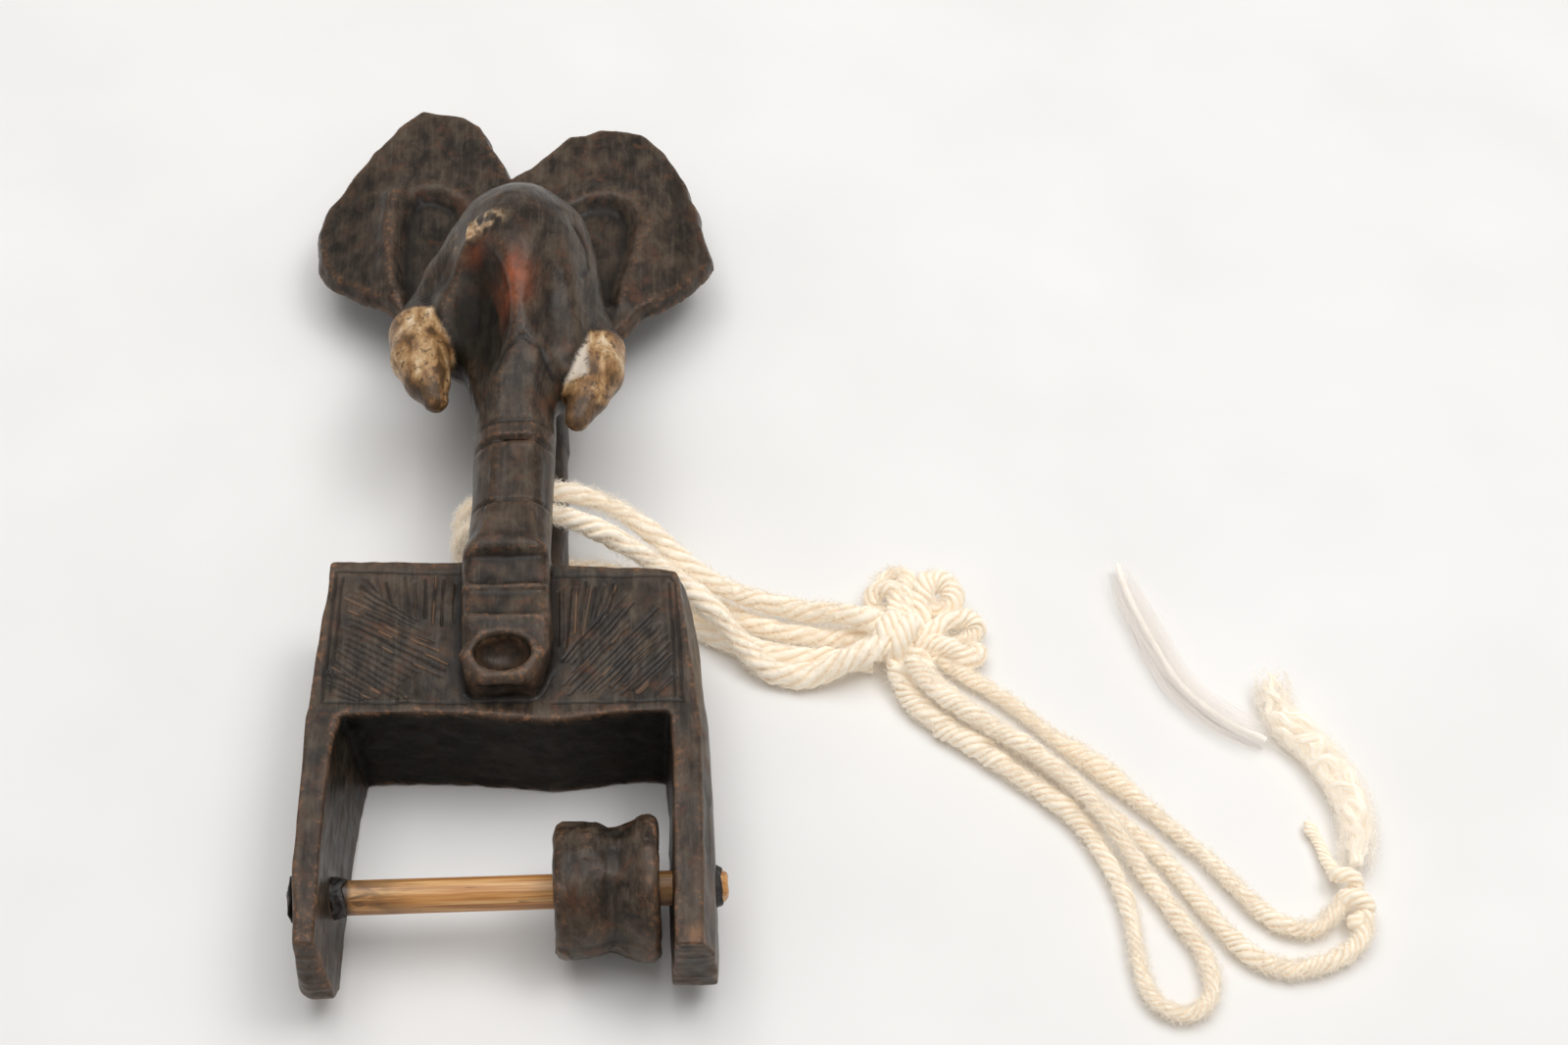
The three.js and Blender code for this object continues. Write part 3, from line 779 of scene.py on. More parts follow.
def make_cord_pieces():
    """The knots, the tuft of loops and the short ply end."""
    knot = Fibres(41)
    knot.strand(knot_route(MAIN_KNOT), KNOT_RADIUS)
    knot.fuzz(knot_route(MAIN_KNOT), KNOT_RADIUS, 50, 1.8)
    for route in (TURN_HIGH, TURN_LOW, BIGHT, TAIL_INNER, TAIL_OUTER):
        knot.strand(stub_route(route_mm(route)), STUB_RADIUS)
    main_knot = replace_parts(knot.build("cord_main_knot"), "yarn_main_knot")

    tuft = Fibres(42)
    for loop, radius in TUFT_LOOPS:
        tuft.strand(loop, radius, swell=((0, 1), (0.7, 1), (1, 0.55)), lay=TUFT_LAY)
        tuft.fuzz(loop, radius, 60, 1.9)
    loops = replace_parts(tuft.build("cord_loop_tuft"), "yarn_loop_tuft")

    knot = Fibres(43)
    knot.strand(knot_route(END_KNOT), END_KNOT_RADIUS, lay=TUFT_LAY)
    knot.fuzz(knot_route(END_KNOT), END_KNOT_RADIUS, 20, 1.2)
    end_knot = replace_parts(knot.build("cord_end_knot"), "yarn_end_knot")

    ply = Fibres(44)
    ply.strand(route_mm(PLY_END), PLY_RADIUS, swell=((0, 1), (0.7, 0.9), (0.85, 1.25), (1, 0.7)), lay=5.5)
    ply.fuzz(route_mm(PLY_END), 1.1, 8, 0.9)
    ply_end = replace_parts(ply.build("cord_ply_end"), "yarn_ply_end")
    return main_knot, loops, end_knot, ply_end


# Each stretch's route, the length in which its plies turn once, and how its thickness changes on the way.
STRETCHES = (
    ("turn_high", TURN_HIGH, 19,
     ((0, 1.1), (0.2, 0.95), (0.4, 0.9), (0.48, 0.6), (0.56, 0.6), (0.65, 0.9), (1, 1.1))),
    ("turn_low", TURN_LOW, 17,
     ((0, 1.15), (0.15, 1.05), (0.4, 0.9), (0.48, 0.6), (0.56, 0.6), (0.65, 0.9), (1, 1.1))),
    ("bight", BIGHT, 7.5,
     ((0, 1), (0.14, 1.05), (0.3, 0.7), (0.4, 0.6), (0.55, 0.72), (0.8, 0.7), (1, 0.9))),
    ("tail_inner", TAIL_INNER, 7.5,
     ((0, 0.9), (0.3, 0.7), (0.6, 0.66), (0.8, 0.82), (1, 0.8))),
    ("tail_outer", TAIL_OUTER, 7.5,
     ((0, 0.9), (0.15, 0.65), (0.3, 0.6), (0.36, 1.2), (0.43, 1.2), (0.5, 0.65), (0.65, 0.5), (0.82, 0.75),
      (1, 0.7))),
)


def make_cord():
    """Every stretch of the cord, from the turns round the neck to the second knot, and the loose ends."""
    main_knot, loops, end_knot, ply_end = make_cord_pieces()
    far_pieces = {"turn_high": [main_knot, loops], "tail_outer": [end_knot, ply_end]}
    cream = cotton_material("cream_cotton", (0.90, 0.81, 0.68), (0.88, 0.76, 0.60), (0.78, 0.62, 0.43), 0.17)
    for name, route, lay, swell in STRETCHES:
        fibres = Fibres(50 + len(name))
        fibres.strand(route_mm(route), STRAND_RADIUS, swell, lay=lay)
        fibres.fuzz(route_mm(route), STRAND_RADIUS, 80, 2.0, swell)
        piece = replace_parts(fibres.build("cord_" + name), "yarn_" + name)
        others = far_pieces.get(name, [])
        dress([piece, *others], cream)
    make_frayed_end()
    make_wisp()


def make_frayed_end():
    """Loose plies and carded fibres beyond the second knot."""
    line = route_mm(FRAYED_END)
    frayed = Fibres(61)
    frayed.plies(line, 7, 0.95, ((0, 0.7), (0.25, 2.2), (0.7, 2.4), (1, 1.7)), 36)
    frayed.roving(line, 3.6, 500, 0.024, ((0, 0.5), (0.2, 1), (0.75, 1), (1, 1)))
    frayed.fuzz(line, 3.2, 90, 2.3)
    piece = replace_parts(frayed.build("cord_frayed_end"), "yarn_frayed_end")
    carded = cotton_material("carded_cotton", (0.91, 0.84, 0.74), (0.89, 0.81, 0.69), (0.83, 0.73, 0.58),
                             0.22)
    dress([piece], carded)


def make_wisp():
    """A haze of fibres that trails off from the frayed end."""
    line = route_mm(WISPY_TAIL)
    wisp = Fibres(62)
    wisp.strand(line, 0.42, swell=((0, 1.3), (0.2, 1), (0.8, 1), (1, 1.6)), grip=0.1, lay=60)
    wisp.roving(line, 3.2, 620, 0.016, ((0, 1), (0.6, 1), (1, 0.8)))
    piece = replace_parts(wisp.build("cord_wispy_tail"), "yarn_wispy_tail")
    haze = cotton_material("cotton_haze", (0.885, 0.825, 0.77), (0.87, 0.81, 0.745), (0.83, 0.76, 0.68),
                           0.21)
    dress([piece], haze)


def dress(pieces, material):
    """Gives every piece the material."""
    for piece in pieces:
        piece.data.materials.append(material)


def cotton_material(name, pale, middle, deep, painted_glow):
    """Soft cotton: pale on the plies, deeper and warmer between them as painted shade; the emission is
    painted light, standing for light passed on between its hairs.
    """
    r = Recipe(name)
    run = r.add("ShaderNodeAttribute", attribute_name="run").outputs["Vector"]
    streaks = r.noise(1, detail=3, where=r.scaled(run, (2.4, 2.4, 0.35)))
    mottle = r.noise(0.12, detail=3)
    # Painted shade: the colour turns deeper in the grooves between the plies.
    groove = r.math("MULTIPLY", r.attribute("groove"), r.math("ADD", mottle, 0.4))
    shade = r.math("ADD", groove, r.math("MULTIPLY", r.math("SUBTRACT", streaks, 0.5), 0.4))
    colour = r.ramp(shade, (0.0, pale), (0.4, middle), (0.9, deep))
    # The emission is painted light, not a lamp.
    r.set(Base_Color=colour, Roughness=0.95, Specular_IOR_Level=0.1, Sheen_Weight=0.35, Sheen_Roughness=0.5,
          Subsurface_Weight=0.3, Subsurface_Radius=(1.0, 0.95, 0.85), Subsurface_Scale=0.9 * MM,
          Emission_Color=colour, Emission_Strength=painted_glow, Normal=r.bump(streaks, 0.12, 0.5))
    return r.material


# ---------------------------------------------------------------------------------------------------------
# The carving
# ---------------------------------------------------------------------------------------------------------
YOKE_LEFT_SIDE = ((-16, -32.9), (-4, -33.6), (8, -33.9), (29, -33.5), (52, -32.0), (61, -31.3))
YOKE_RIGHT_SIDE = ((-16, 34.2), (5, 34.4), (29, 34.3), (45, 33.4), (53, 32.3), (57, 31.2), (61, 28.4))
RIGHT_FRONT_EDGE = ((-17, 32.1), (3, 32.7), (25, 33.0), (31, 32.4), (46, 31.3), (60, 29.9))
WINDOW_LEFT = ((-16, -29.6), (11, -29.5), (23, -28.9), (29, -28.0))
WINDOW_RIGHT = ((-16, 27.7), (21, 28.4), (29, 28.1))
YOKE_BACK = ((-17, 8.2), (-13, 5.2), (0, 3.3), (23, 0.5), (31, 0.0), (54, 0.0), (63, 1.8))
CROSSBAR_TOP = ((-33, 62.9), (-20, 62.7), (-8, 62.2), (12, 60.9), (23, 60.1), (31, 58.9))
CROSSBAR_UNDERSIDE = ((-30, 29.4), (-14, 29.2), (-6, 28.8), (0, 27.9), (8, 27.0), (14, 27.5), (22, 28.4),
                      (29, 28.2))

TRUNK_LEFT = ((31, -4.9), (33, -6.5), (36, -7.0), (45, -7.3), (55, -7.5), (60, -7.3), (62, -6.6), (71, -6.2),
              (92, -6.2), (104, -8.0))
TRUNK_RIGHT = ((31, 4.6), (34, 6.6), (37.5, 7.9), (42, 8.1), (58, 7.7), (64, 7.8), (71, 8.0), (83, 8.6),
               (94, 8.7), (104, 10))
TRUNK_TOP = ((31, 29.4), (32.2, 30.2), (41, 32.1), (43, 33.0), (43.8, 32.0), (48.8, 31.7), (49.8, 32.7),
             (50.6, 31.5), (56.6, 31.7), (57.6, 33.2), (58.6, 33.7), (61, 33.4), (68, 33.2),
             (68.5, 32.6), (69, 33.2), (82, 33.3), (83, 32.5), (84, 33.5), (86.5, 33.6), (87.3, 32.7),
             (88.3, 33.4), (95, 34.2), (104, 36.0))
TRUNK_UNDER = ((31, 20.0), (59, 20.0), (63, 22.4), (95, 22.4), (104, 20.0))
TRUNK_CORNER = ((31, 1.2), (44, 1.8), (56, 2.2), (60, 3.6), (72, 4.8), (95, 5.2), (104, 6.0))
TRUNK_STRIP = ((56, 9.0), (66, 3.2), (84, 3.0), (98, 2.4), (104.5, 0.3), (112, 0.3))
NOSTRIL = {"centre": (-0.2, 36.2, 31.8), "radii": (5.0, 3.5, 4.4)}
NOSTRIL_LIP = [
    (6.0 * math.cos(a) - 0.2, 36.2 + 4.6 * math.sin(a), 30.2 + 0.9 * math.sin(a), 1.25)
    for a in np.linspace(0, 2 * math.pi, 7)
]

LEFT_EAR = [
    (-1.4, 168.6), (-3.0, 173.8), (-8.0, 185.8), (-11.3, 188.6), (-15.6, 189.6), (-19.8, 190.8),
    (-22.4, 188.6), (-26.0, 184.0), (-32.0, 176.0), (-36.0, 169.5), (-39.0, 163.6), (-40.0, 158.7),
    (-39.2, 153.2), (-38.8, 149.5), (-37.4, 146.5), (-34.2, 142.5), (-30.0, 138.6), (-26.0, 135.6),
    (-22.0, 131.0), (-12.0, 124.0), (0.0, 140.0),
]
RIGHT_EAR = [
    (-1.4, 168.3), (3.6, 173.0), (8.0, 178.2), (11.0, 182.0), (14.0, 182.4), (17.7, 184.2), (22.0, 183.2),
    (26.0, 182.4), (30.5, 177.8), (34.0, 170.8), (36.8, 162.8), (37.8, 156.0), (39.2, 150.4), (39.4, 148.5),
    (38.0, 145.8), (35.0, 140.7), (31.8, 137.2), (28.2, 133.2), (25.3, 131.2), (21.0, 126.0), (10.0, 116.0),
    (0.0, 140.0),
]
LEFT_HOLLOW = [(-22.6, 163), (-20.5, 165.8), (-16, 166.4), (-11, 163), (-8, 155), (-10, 146), (-16, 134),
               (-21, 131), (-23.5, 138), (-24.0, 147), (-23.8, 156)]
RIGHT_HOLLOW = [(10, 159.5), (14.8, 162.5), (19.4, 163), (23.0, 160.8), (24.7, 155.6), (24.2, 149),
                (22.4, 141), (20.0, 131), (15, 131), (11, 148)]
LEFT_RIDGE = [(-25.0, 164.5), (-25.9, 158), (-26.0, 150), (-25.2, 142), (-22.6, 135.5)]
LEFT_RIM_OF_HOLLOW = [(-24.6, 163.5), (-20.5, 167.3), (-15, 166.8), (-11, 163)]
RIGHT_RIDGE = [(9.5, 161), (14.5, 163.6), (19.2, 164.4), (24.2, 161.8), (26.6, 155.6), (24.6, 146),
               (20.6, 133)]

LEFT_TUSK = [(-15.8, 124, 22, 5.4), (-17.2, 116, 25.8, 5.8), (-16.7, 108.6, 27.6, 5.6),
             (-15.2, 102.3, 28.2, 4.3), (-13.5, 97.2, 28.3, 2.4)]
RIGHT_TUSK = [(14.6, 118, 22.5, 5.2), (16.3, 110.5, 25.6, 5.5), (16.1, 104, 27.4, 5.3),
              (14.6, 98, 28.0, 4.0), (12.6, 91.8, 28.0, 2.2)]


def yoke_field(g):
    """The crossbar and the two legs, with the window between them."""
    depth = np.clip(1 - g.z / FRONT, 0, 1)             # 0 at the front face, 1 on the table
    left = curve(g.y, YOKE_LEFT_SIDE) * (1 + 0.03 * depth)
    right = curve(g.y, YOKE_RIGHT_SIDE) + 1.0 * depth
    bevel = curve(g.y, RIGHT_FRONT_EDGE) + 0.42 * (FRONT - g.z)
    waver = plane_noise(g, 9.0, 11)                    # the faces are cut by eye, so none is quite flat
    block = overlap(left - g.x, g.x - right, 1.2) + 0.2 * waver
    block = overlap(block, g.x - bevel, 0.2)
    block = overlap(block, g.z - FRONT + 0.16 * plane_noise(g, 7.0, 12), 0.35)
    block = overlap(block, g.y - curve(g.x, CROSSBAR_TOP), 0.9)
    left_end = LEG_END + 0.4 - 0.09 * (FRONT - g.z) - g.y
    right_end = LEG_END - 2.1 + 0.11 * (FRONT - g.z) - g.y
    block = overlap(block, np.where(g.x < 0, left_end, right_end), 0.3)
    block = overlap(block, curve(g.y, YOKE_BACK) - g.z, 1.6)
    # The left leg's outer corner is rounded off at its tip.
    block = overlap(block, np.where(g.x < 0, -g.x - g.y - 0.08 * g.z - 47.6, -9.0), 1.0)
    window_left = curve(g.y, WINDOW_LEFT) * (1 - 0.10 * depth) - g.x
    window_right = g.x - curve(g.y, WINDOW_RIGHT) * (1 - 0.03 * depth)
    # The underside leans: the crossbar's back edge is a little higher than its front edge.
    window_top = g.y - curve(g.x, CROSSBAR_UNDERSIDE) - 1.3 * depth
    window = overlap(overlap(window_left, window_right, 0.5), window_top, 1.2)
    return cut(block, window + 0.15 * waver, 0.4)


def bore_field(g):
    """The hole for the pin, right through both legs."""
    return np.hypot(g.y, g.z - AXLE_HEIGHT) - (PIN_RADIUS + BORE_CLEARANCE) + 0 * g.x


def neck_field(g):
    """The oval post behind the trunk, from the crossbar to the head."""
    half_width, half_depth = 8.5, 6.3
    u, v = (g.x - 2.0) / half_width, (g.z - 11.1) / half_depth
    post = (np.sqrt(u * u + v * v) - 1) * half_depth
    return overlap(post, np.abs(g.y - 84) - 32, 2.0)


def trunk_field(g):
    """The ridged trunk, with the nostril in its end."""
    left, right = curve(g.y, TRUNK_LEFT), curve(g.y, TRUNK_RIGHT)
    top, under = curve(g.y, TRUNK_TOP), curve(g.y, TRUNK_UNDER)
    corner = curve(g.y, TRUNK_CORNER)
    across = np.abs(g.x - (left + right) / 2) - (right - left) / 2 + corner
    # The top of the trunk has a flat strip down its middle, and its sides fall away from that.
    crown = 0.26 * np.maximum(0, np.abs(g.x - 1.6) - curve(g.y, TRUNK_STRIP))
    upward = np.abs(g.z + crown - (top + under) / 2) - (top - under) / 2 + corner
    tube = np.hypot(np.maximum(across, 0), np.maximum(upward, 0)) + np.minimum(np.maximum(across, upward), 0)
    tube = tube - corner
    tube = overlap(tube, 31.2 + 0.06 * (33 - g.z) - g.y, 0.8)
    tube = overlap(tube, g.y - 112, 3.0)
    lip = horn(g, NOSTRIL_LIP, 0.5)
    nostril = ellipsoid(g, NOSTRIL["centre"], NOSTRIL["radii"])
    return cut(join(tube, lip, 0.8), nostril, 0.25)


def skull_field(g):
    """The dome of the head, with its brows and cheeks and the ridge down the forehead."""
    skull = ellipsoid(g, (1.8, 128.5, 22.0), (15.3, 25.0, 21.6))
    skull = join(skull, ellipsoid(g, (2.6, 116.0, 26.5), (10.6, 19.0, 13.5)), 5.0)
    # Broad brows lead from the dome down to the roots of the tusks.
    skull = join(skull, horn(g, [(-2.5, 138, 31, 7.0), (-11.5, 129.5, 27, 5.4), (-16.0, 122, 23, 5.0)]), 3.5)
    skull = join(skull, horn(g, [(8.5, 137, 31, 6.0), (11.2, 125, 27, 5.6), (14.4, 115, 24.0, 5.2)]), 3.0)
    skull = join(skull, ellipsoid(g, (-9.5, 118.0, 25.0), (7.0, 10.0, 8.5)), 3.5)
    skull = join(skull, ellipsoid(g, (9.8, 110.0, 25.5), (7.2, 12.0, 9.0)), 3.5)
    skull = cut(skull, ellipsoid(g, (9.4, 108.0, 43.5), (5.5, 13.0, 8.6)), 3.0)
    # The forehead narrows downward to a ridge that ends in a point above the trunk.
    ridge = horn(g, [(1.8, 125, 35.4, 6.2), (2.2, 115, 35.0, 4.2), (2.8, 105.2, 34.8, 1.1)])
    return join(skull, ridge, 1.8)


def ear_height(x, y):
    """Height of the ears' front faces, with the carved hollows and ridges."""
    lean = 0.30 * np.maximum(0, -x - 25) + 0.32 * np.maximum(0, x - 27)
    height = 17.6 - lean - 0.02 * np.maximum(0, y - 160)
    height = height - 1.0 * np.exp(-((x + 33) / 5) ** 2 - ((y - 156) / 13) ** 2)
    for hollow, depth in ((LEFT_HOLLOW, 2.3), (RIGHT_HOLLOW, 2.0)):
        height = height - depth * smoothstep(0.8, -2.8, outline_distance(x, y, hollow))
    ridges = ((LEFT_RIDGE, 2.0, 1.2), (LEFT_RIM_OF_HOLLOW, 2.4, 0.4), (RIGHT_RIDGE, 2.6, 0.7))
    for ridge, width, rise in ridges:
        height = height + rise * np.exp(-(line_distance(x, y, ridge) / width) ** 2)
    return height


def ears_field(g):
    """Both ears, as one uneven plate behind the head."""
    x, y = g.x[:, :, 0], g.y[:, :, 0]
    front = ear_height(x, y)[:, :, None]
    rim = np.minimum(outline_distance(x, y, LEFT_EAR), outline_distance(x, y, RIGHT_EAR))[:, :, None]
    rim = rim + 0.35 * plane_noise(g, 3.6, 21)
    # The rim is cut at a slant, so the front face is a little smaller than the back.
    slant = 0.35 * (g.z - front)
    back = front - curve(rim, ((-14, 6.5), (-4, 4.8), (0, 3.4)))
    plate = overlap(g.z - front, back - g.z, 0.8)
    return overlap(plate, (rim + slant) * 0.94, 0.7)


def tusks_field(g):
    """Both tusks."""
    return np.minimum(horn(g, LEFT_TUSK), horn(g, RIGHT_TUSK))


def carving_field(g):
    """The whole carving, from the leg tips to the ears."""
    field = join(yoke_field(g), neck_field(g), 1.6)
    field = join(field, trunk_field(g), 0.9)
    head = join(skull_field(g), ears_field(g), 2.6)
    field = join(field, head, 2.2)
    # The left cheek is hollowed deeply beside the middle of the face, down to the trunk.
    field = cut(field, ellipsoid(g, (-7.6, 107.5, 42.0), (8.6, 20.0, 11.6)), 1.8)
    # Clear space between the left tusk and the trunk.
    field = cut(field, ellipsoid(g, (-12.2, 93.0, 20.0), (3.6, 14.2, 40.0)), 0.8)
    field = join(field, tusks_field(g), 1.3)
    field = cut(field, bore_field(g), 0.2)
    return overlap(field, -g.z, 0.5)


# Lines cut into the yoke's front face: a border round each half, and hatching in two directions. Each
# patch of hatching has the line its strokes start from, the line they run to, and how many there are.
PANEL_BORDERS = [
    [(-8.3, 59.5), (-30.2, 60.2), (-30.9, 36.9), (-31.0, 31.9), (-6.6, 30.9)],
    [(8.0, 58.3), (28.7, 57.6), (29.7, 56.0), (30.2, 30.2), (8.1, 30.4)],
    [(-29.0, 58.9), (-29.9, 34.0)],
    [(28.6, 56.0), (29.0, 31.6)],
]
HATCHES = [
    ([(-26.5, 57.5), (-29.0, 55.0), (-30.4, 34.5)],
     [(-14, 47.5), (-9.5, 42), (-9.5, 35), (-14, 31.8), (-25, 31.8)], 20),
    ([(-25.0, 59.2), (-8.8, 59.2)], [(-22.5, 54.5), (-18, 50), (-9.8, 44)], 10),
    ([(9.2, 38), (10, 32), (25.5, 31.4)], [(20.5, 55.5), (28.2, 51), (29.6, 36)], 20),
    ([(8.8, 57.3), (20.0, 57.0)], [(9.2, 41), (16.5, 47)], 10),
]
HATCH_WIDTH = 0.23
FILL_WIDTH = 0.13
BROW_LINES = [[(2.8, 104.8), (6.0, 103.2), (8.3, 98.4)], [(2.8, 104.8), (-0.4, 102.4), (-2.0, 98.8)]]
EYE_LINES = [[(12.6, 133.3), (14.6, 130.0), (15.0, 126.0), (13.6, 122.2)]]
FACE_LINE_WIDTH = 0.45


def knife_facets(points, size, seed):
    """Flat cuts about size millimetres across, each tilted in its own way."""
    random = np.random.default_rng(seed)
    middle = random.uniform(0.1, 0.9, (16, 16, 16, 3))
    tilt = random.normal(0, 1, (16, 16, 16, 3))
    place = points / size
    base = np.floor(place).astype(int)
    nearest = np.full(len(points), np.inf)
    height = np.zeros(len(points))
    for corner in np.ndindex(3, 3, 3):
        cell = base + np.array(corner) - 1
        index = tuple((cell % 16).T)
        off = place - cell - middle[index]
        far = (off ** 2).sum(1)
        closer = far < nearest
        nearest = np.where(closer, far, nearest)
        height = np.where(closer, (off * tilt[index]).sum(1), height)
    return height


def spread_along(route, count):
    """Points evenly spread along a line."""
    route = np.array(route, float)
    along = distance_along(route)
    at = np.linspace(0, along[-1], count)
    return np.stack([np.interp(at, along, route[:, k]) for k in (0, 1)], 1)


def hatch_strokes():
    """Every short stroke of the hatching, none quite straight above the next."""
    random = np.random.default_rng(71)
    strokes = []
    for starts, ends, count in HATCHES:
        pairs = zip(spread_along(starts, count), spread_along(ends, count))
        for a, b in pairs:
            first, last = random.uniform(0, 0.18), random.uniform(0.72, 1.0)
            shift = random.normal(0, 0.25, (2, 2))
            strokes.append([a + first * (b - a) + shift[0], a + last * (b - a) + shift[1]])
    return strokes


def panel_grooves(points, normals):
    """How deep the front face's lines are at each point, and how much pale fill they hold, from 0 to 1."""
    depth, fill = np.zeros(len(points)), np.zeros(len(points))
    on_face = (normals[:, 2] > 0.6) & (np.abs(points[:, 2] - FRONT) < 1.6)
    on_face &= (points[:, 1] > PANEL_BOTTOM) & (points[:, 1] < PANEL_TOP)
    wander = 0.25 * value_noise(points[on_face], 9.0, 72)
    x, y = points[on_face, 0] + wander, points[on_face, 1] + wander
    cut_here, fill_here = np.zeros(len(x)), np.zeros(len(x))
    patchy = smoothstep(-0.1, 0.3, value_noise(points[on_face], 2.6, 73))
    random = np.random.default_rng(74)
    for border in PANEL_BORDERS:
        cut_here = np.maximum(cut_here, 0.8 * np.exp(-(line_distance(x, y, border) / HATCH_WIDTH) ** 2))
    for stroke in hatch_strokes():
        far = line_distance(x, y, stroke)
        cut_here = np.maximum(cut_here, random.uniform(0.4, 1.0) * np.exp(-(far / HATCH_WIDTH) ** 2))
        filled = random.uniform(-0.4, 0.55) * patchy
        fill_here = np.maximum(fill_here, filled * np.exp(-(far / FILL_WIDTH) ** 2))
    depth[on_face], fill[on_face] = cut_here, fill_here
    return depth, fill


def face_grooves(points, normals):
    """How deep the brow and eye lines are at each point, from 0 to 1."""
    x, y, z = points.T
    depth = np.zeros(len(points))
    near = (z > 26) & (y > 95) & (y < 137) & (normals[:, 2] > 0.05)
    for line in BROW_LINES + EYE_LINES:
        far = line_distance(x[near], y[near], line)
        depth[near] = np.maximum(depth[near], np.exp(-(far / FACE_LINE_WIDTH) ** 2))
    return depth


def refine_panel(piece):
    """Makes the mesh finer on the yoke's front face, where the fine lines are, and smooths it there."""
    mesh = bmesh.new()
    mesh.from_mesh(piece.data)
    low, high = ORIGIN[1] + PANEL_BOTTOM * MM, ORIGIN[1] + (PANEL_TOP + 1) * MM
    chosen = set()
    for face in mesh.faces:
        place = face.calc_center_median()
        if low < place.y < high and abs(place.z / MM - FRONT) < 1.6 and face.normal.z > 0.6:
            chosen.update(face.edges)
    made = bmesh.ops.subdivide_edges(mesh, edges=list(chosen), cuts=2, use_grid_fill=True)
    new_vertices = [part for part in made["geom_inner"] if isinstance(part, bmesh.types.BMVert)]
    for _ in range(3):
        bmesh.ops.smooth_vert(mesh, verts=new_vertices, factor=0.5,
                              use_axis_x=True, use_axis_y=True, use_axis_z=True)
    mesh.to_mesh(piece.data)
    mesh.free()


def write_points(piece, points):
    """Moves the piece's points to places given in sculpting millimetres."""
    piece.data.vertices.foreach_set("co", (points * MM + ORIGIN).astype(np.float32).ravel())
    piece.data.update()


def mark_edges(piece):
    """Sets wear on the piece's outer edges and painted shade in its inner corners, each from 0 to 1."""
    points, normals, edges = mesh_arrays(piece.data)
    smoothed = points
    for _ in range(6):
        smoothed = neighbour_mean(smoothed, edges)
    bulge = ((points - smoothed) * normals).sum(1)
    for _ in range(3):
        bulge = neighbour_mean(bulge, edges)
    set_attribute(piece, "wear", np.clip(bulge / 0.17 - 0.2, 0, 1))
    # Painted shade: darker where the surface is hollow.
    set_attribute(piece, "crease_shade", np.clip(-bulge / 0.09 - 0.1, 0, 1))


def knife_work(points, normals, edges):
    """How far each point moves outward: knife cuts, grain, saw marks, rings and face lines."""
    x, y, z = points.T
    # Long cuts down the yoke, the neck and the trunk, and small shallow ones on the head.
    head = smoothstep(96, 112, y)
    facets = (1 - head) * 0.16 * knife_facets(points * (1, 0.45, 1), 4.5, 81)
    facets += head * 0.10 * knife_facets(points * (1, 0.8, 1), 5.5, 82)
    near_pin = np.hypot(y, z - AXLE_HEIGHT) < PIN_RADIUS + 1.5
    facets[near_pin & (np.abs(x) > 20)] = 0
    on_tusk = tusk_distance(points) < 0.8
    facets[on_tusk] *= 0.4
    for _ in range(2):
        facets = neighbour_mean(facets, edges)
    grain = 0.05 * value_noise(points * (1, 0.12, 1), 0.9, 83)
    # Saw marks across the ends of the legs, and strokes down the left cheek.
    sawn = smoothstep(-0.5, -0.8, normals[:, 1]) * (y < LEG_END + 3)
    saw_marks = 0.20 * sawn * value_noise(points * (0.18, 1, 1.5), 0.9, 84)
    strokes = 0.12 * left_cheek(points) * value_noise(points * (1.4, 0.1, 1), 0.9, 85)
    # Rings cut round the roots of the tusks, above the paint.
    root = on_tusk * smoothstep(111, 113, y) * smoothstep(127, 124, y) * (1 - tusk_paint(points))
    rings = 0.08 * root * np.sin(y * 2 * np.pi / 1.1)
    return facets + grain + saw_marks + strokes + rings - 0.28 * face_grooves(points, normals)


def left_cheek(points):
    """1 in the hollow of the left cheek, 0 away from it."""
    x, y, z = points.T
    return np.exp(-((x + 6.4) / 5.8) ** 4 - ((y - 109.5) / 14) ** 4) * (z > 22)


def tusk_distance(points):
    """Distance from each point to the surface of the nearer tusk."""
    return np.minimum(horn_distance(points, LEFT_TUSK), horn_distance(points, RIGHT_TUSK))


def tusk_paint(points):
    """1 on the painted part of each tusk, 0 on the bare wood of its root."""
    x, y, _ = points.T
    ragged = 0.7 * value_noise(points, 1.5, 87)
    left = smoothstep(119.6, 118.4, y + ragged)
    left = left * smoothstep(1.2, 0.4, horn_distance(points, LEFT_TUSK))
    right = smoothstep(111.6, 110.4, y + ragged - 0.35 * (x - 16))
    right = right * smoothstep(1.2, 0.4, horn_distance(points, RIGHT_TUSK))
    worn_tip = np.where(x < 0, smoothstep(101, 97.5, y), smoothstep(97, 92.5, y))
    patchy = smoothstep(-0.3, 0.1, value_noise(points, 2.5, 88))
    return np.maximum(left, right) * (1 - 0.7 * worn_tip * patchy)


def bare_patch(points):
    """The broken patch high on the left of the forehead: how tan it is, and how deep its pits are."""
    x, y, z = points.T
    inside = np.exp(-((x + 5.5) / 4.4) ** 4 - ((y - 130.6) / 2.5) ** 4) * (z > 34)
    rough = value_noise(points, 1.7, 86)
    return inside * smoothstep(-0.2, 0.05, rough), inside * smoothstep(0.3, 0.6, rough)


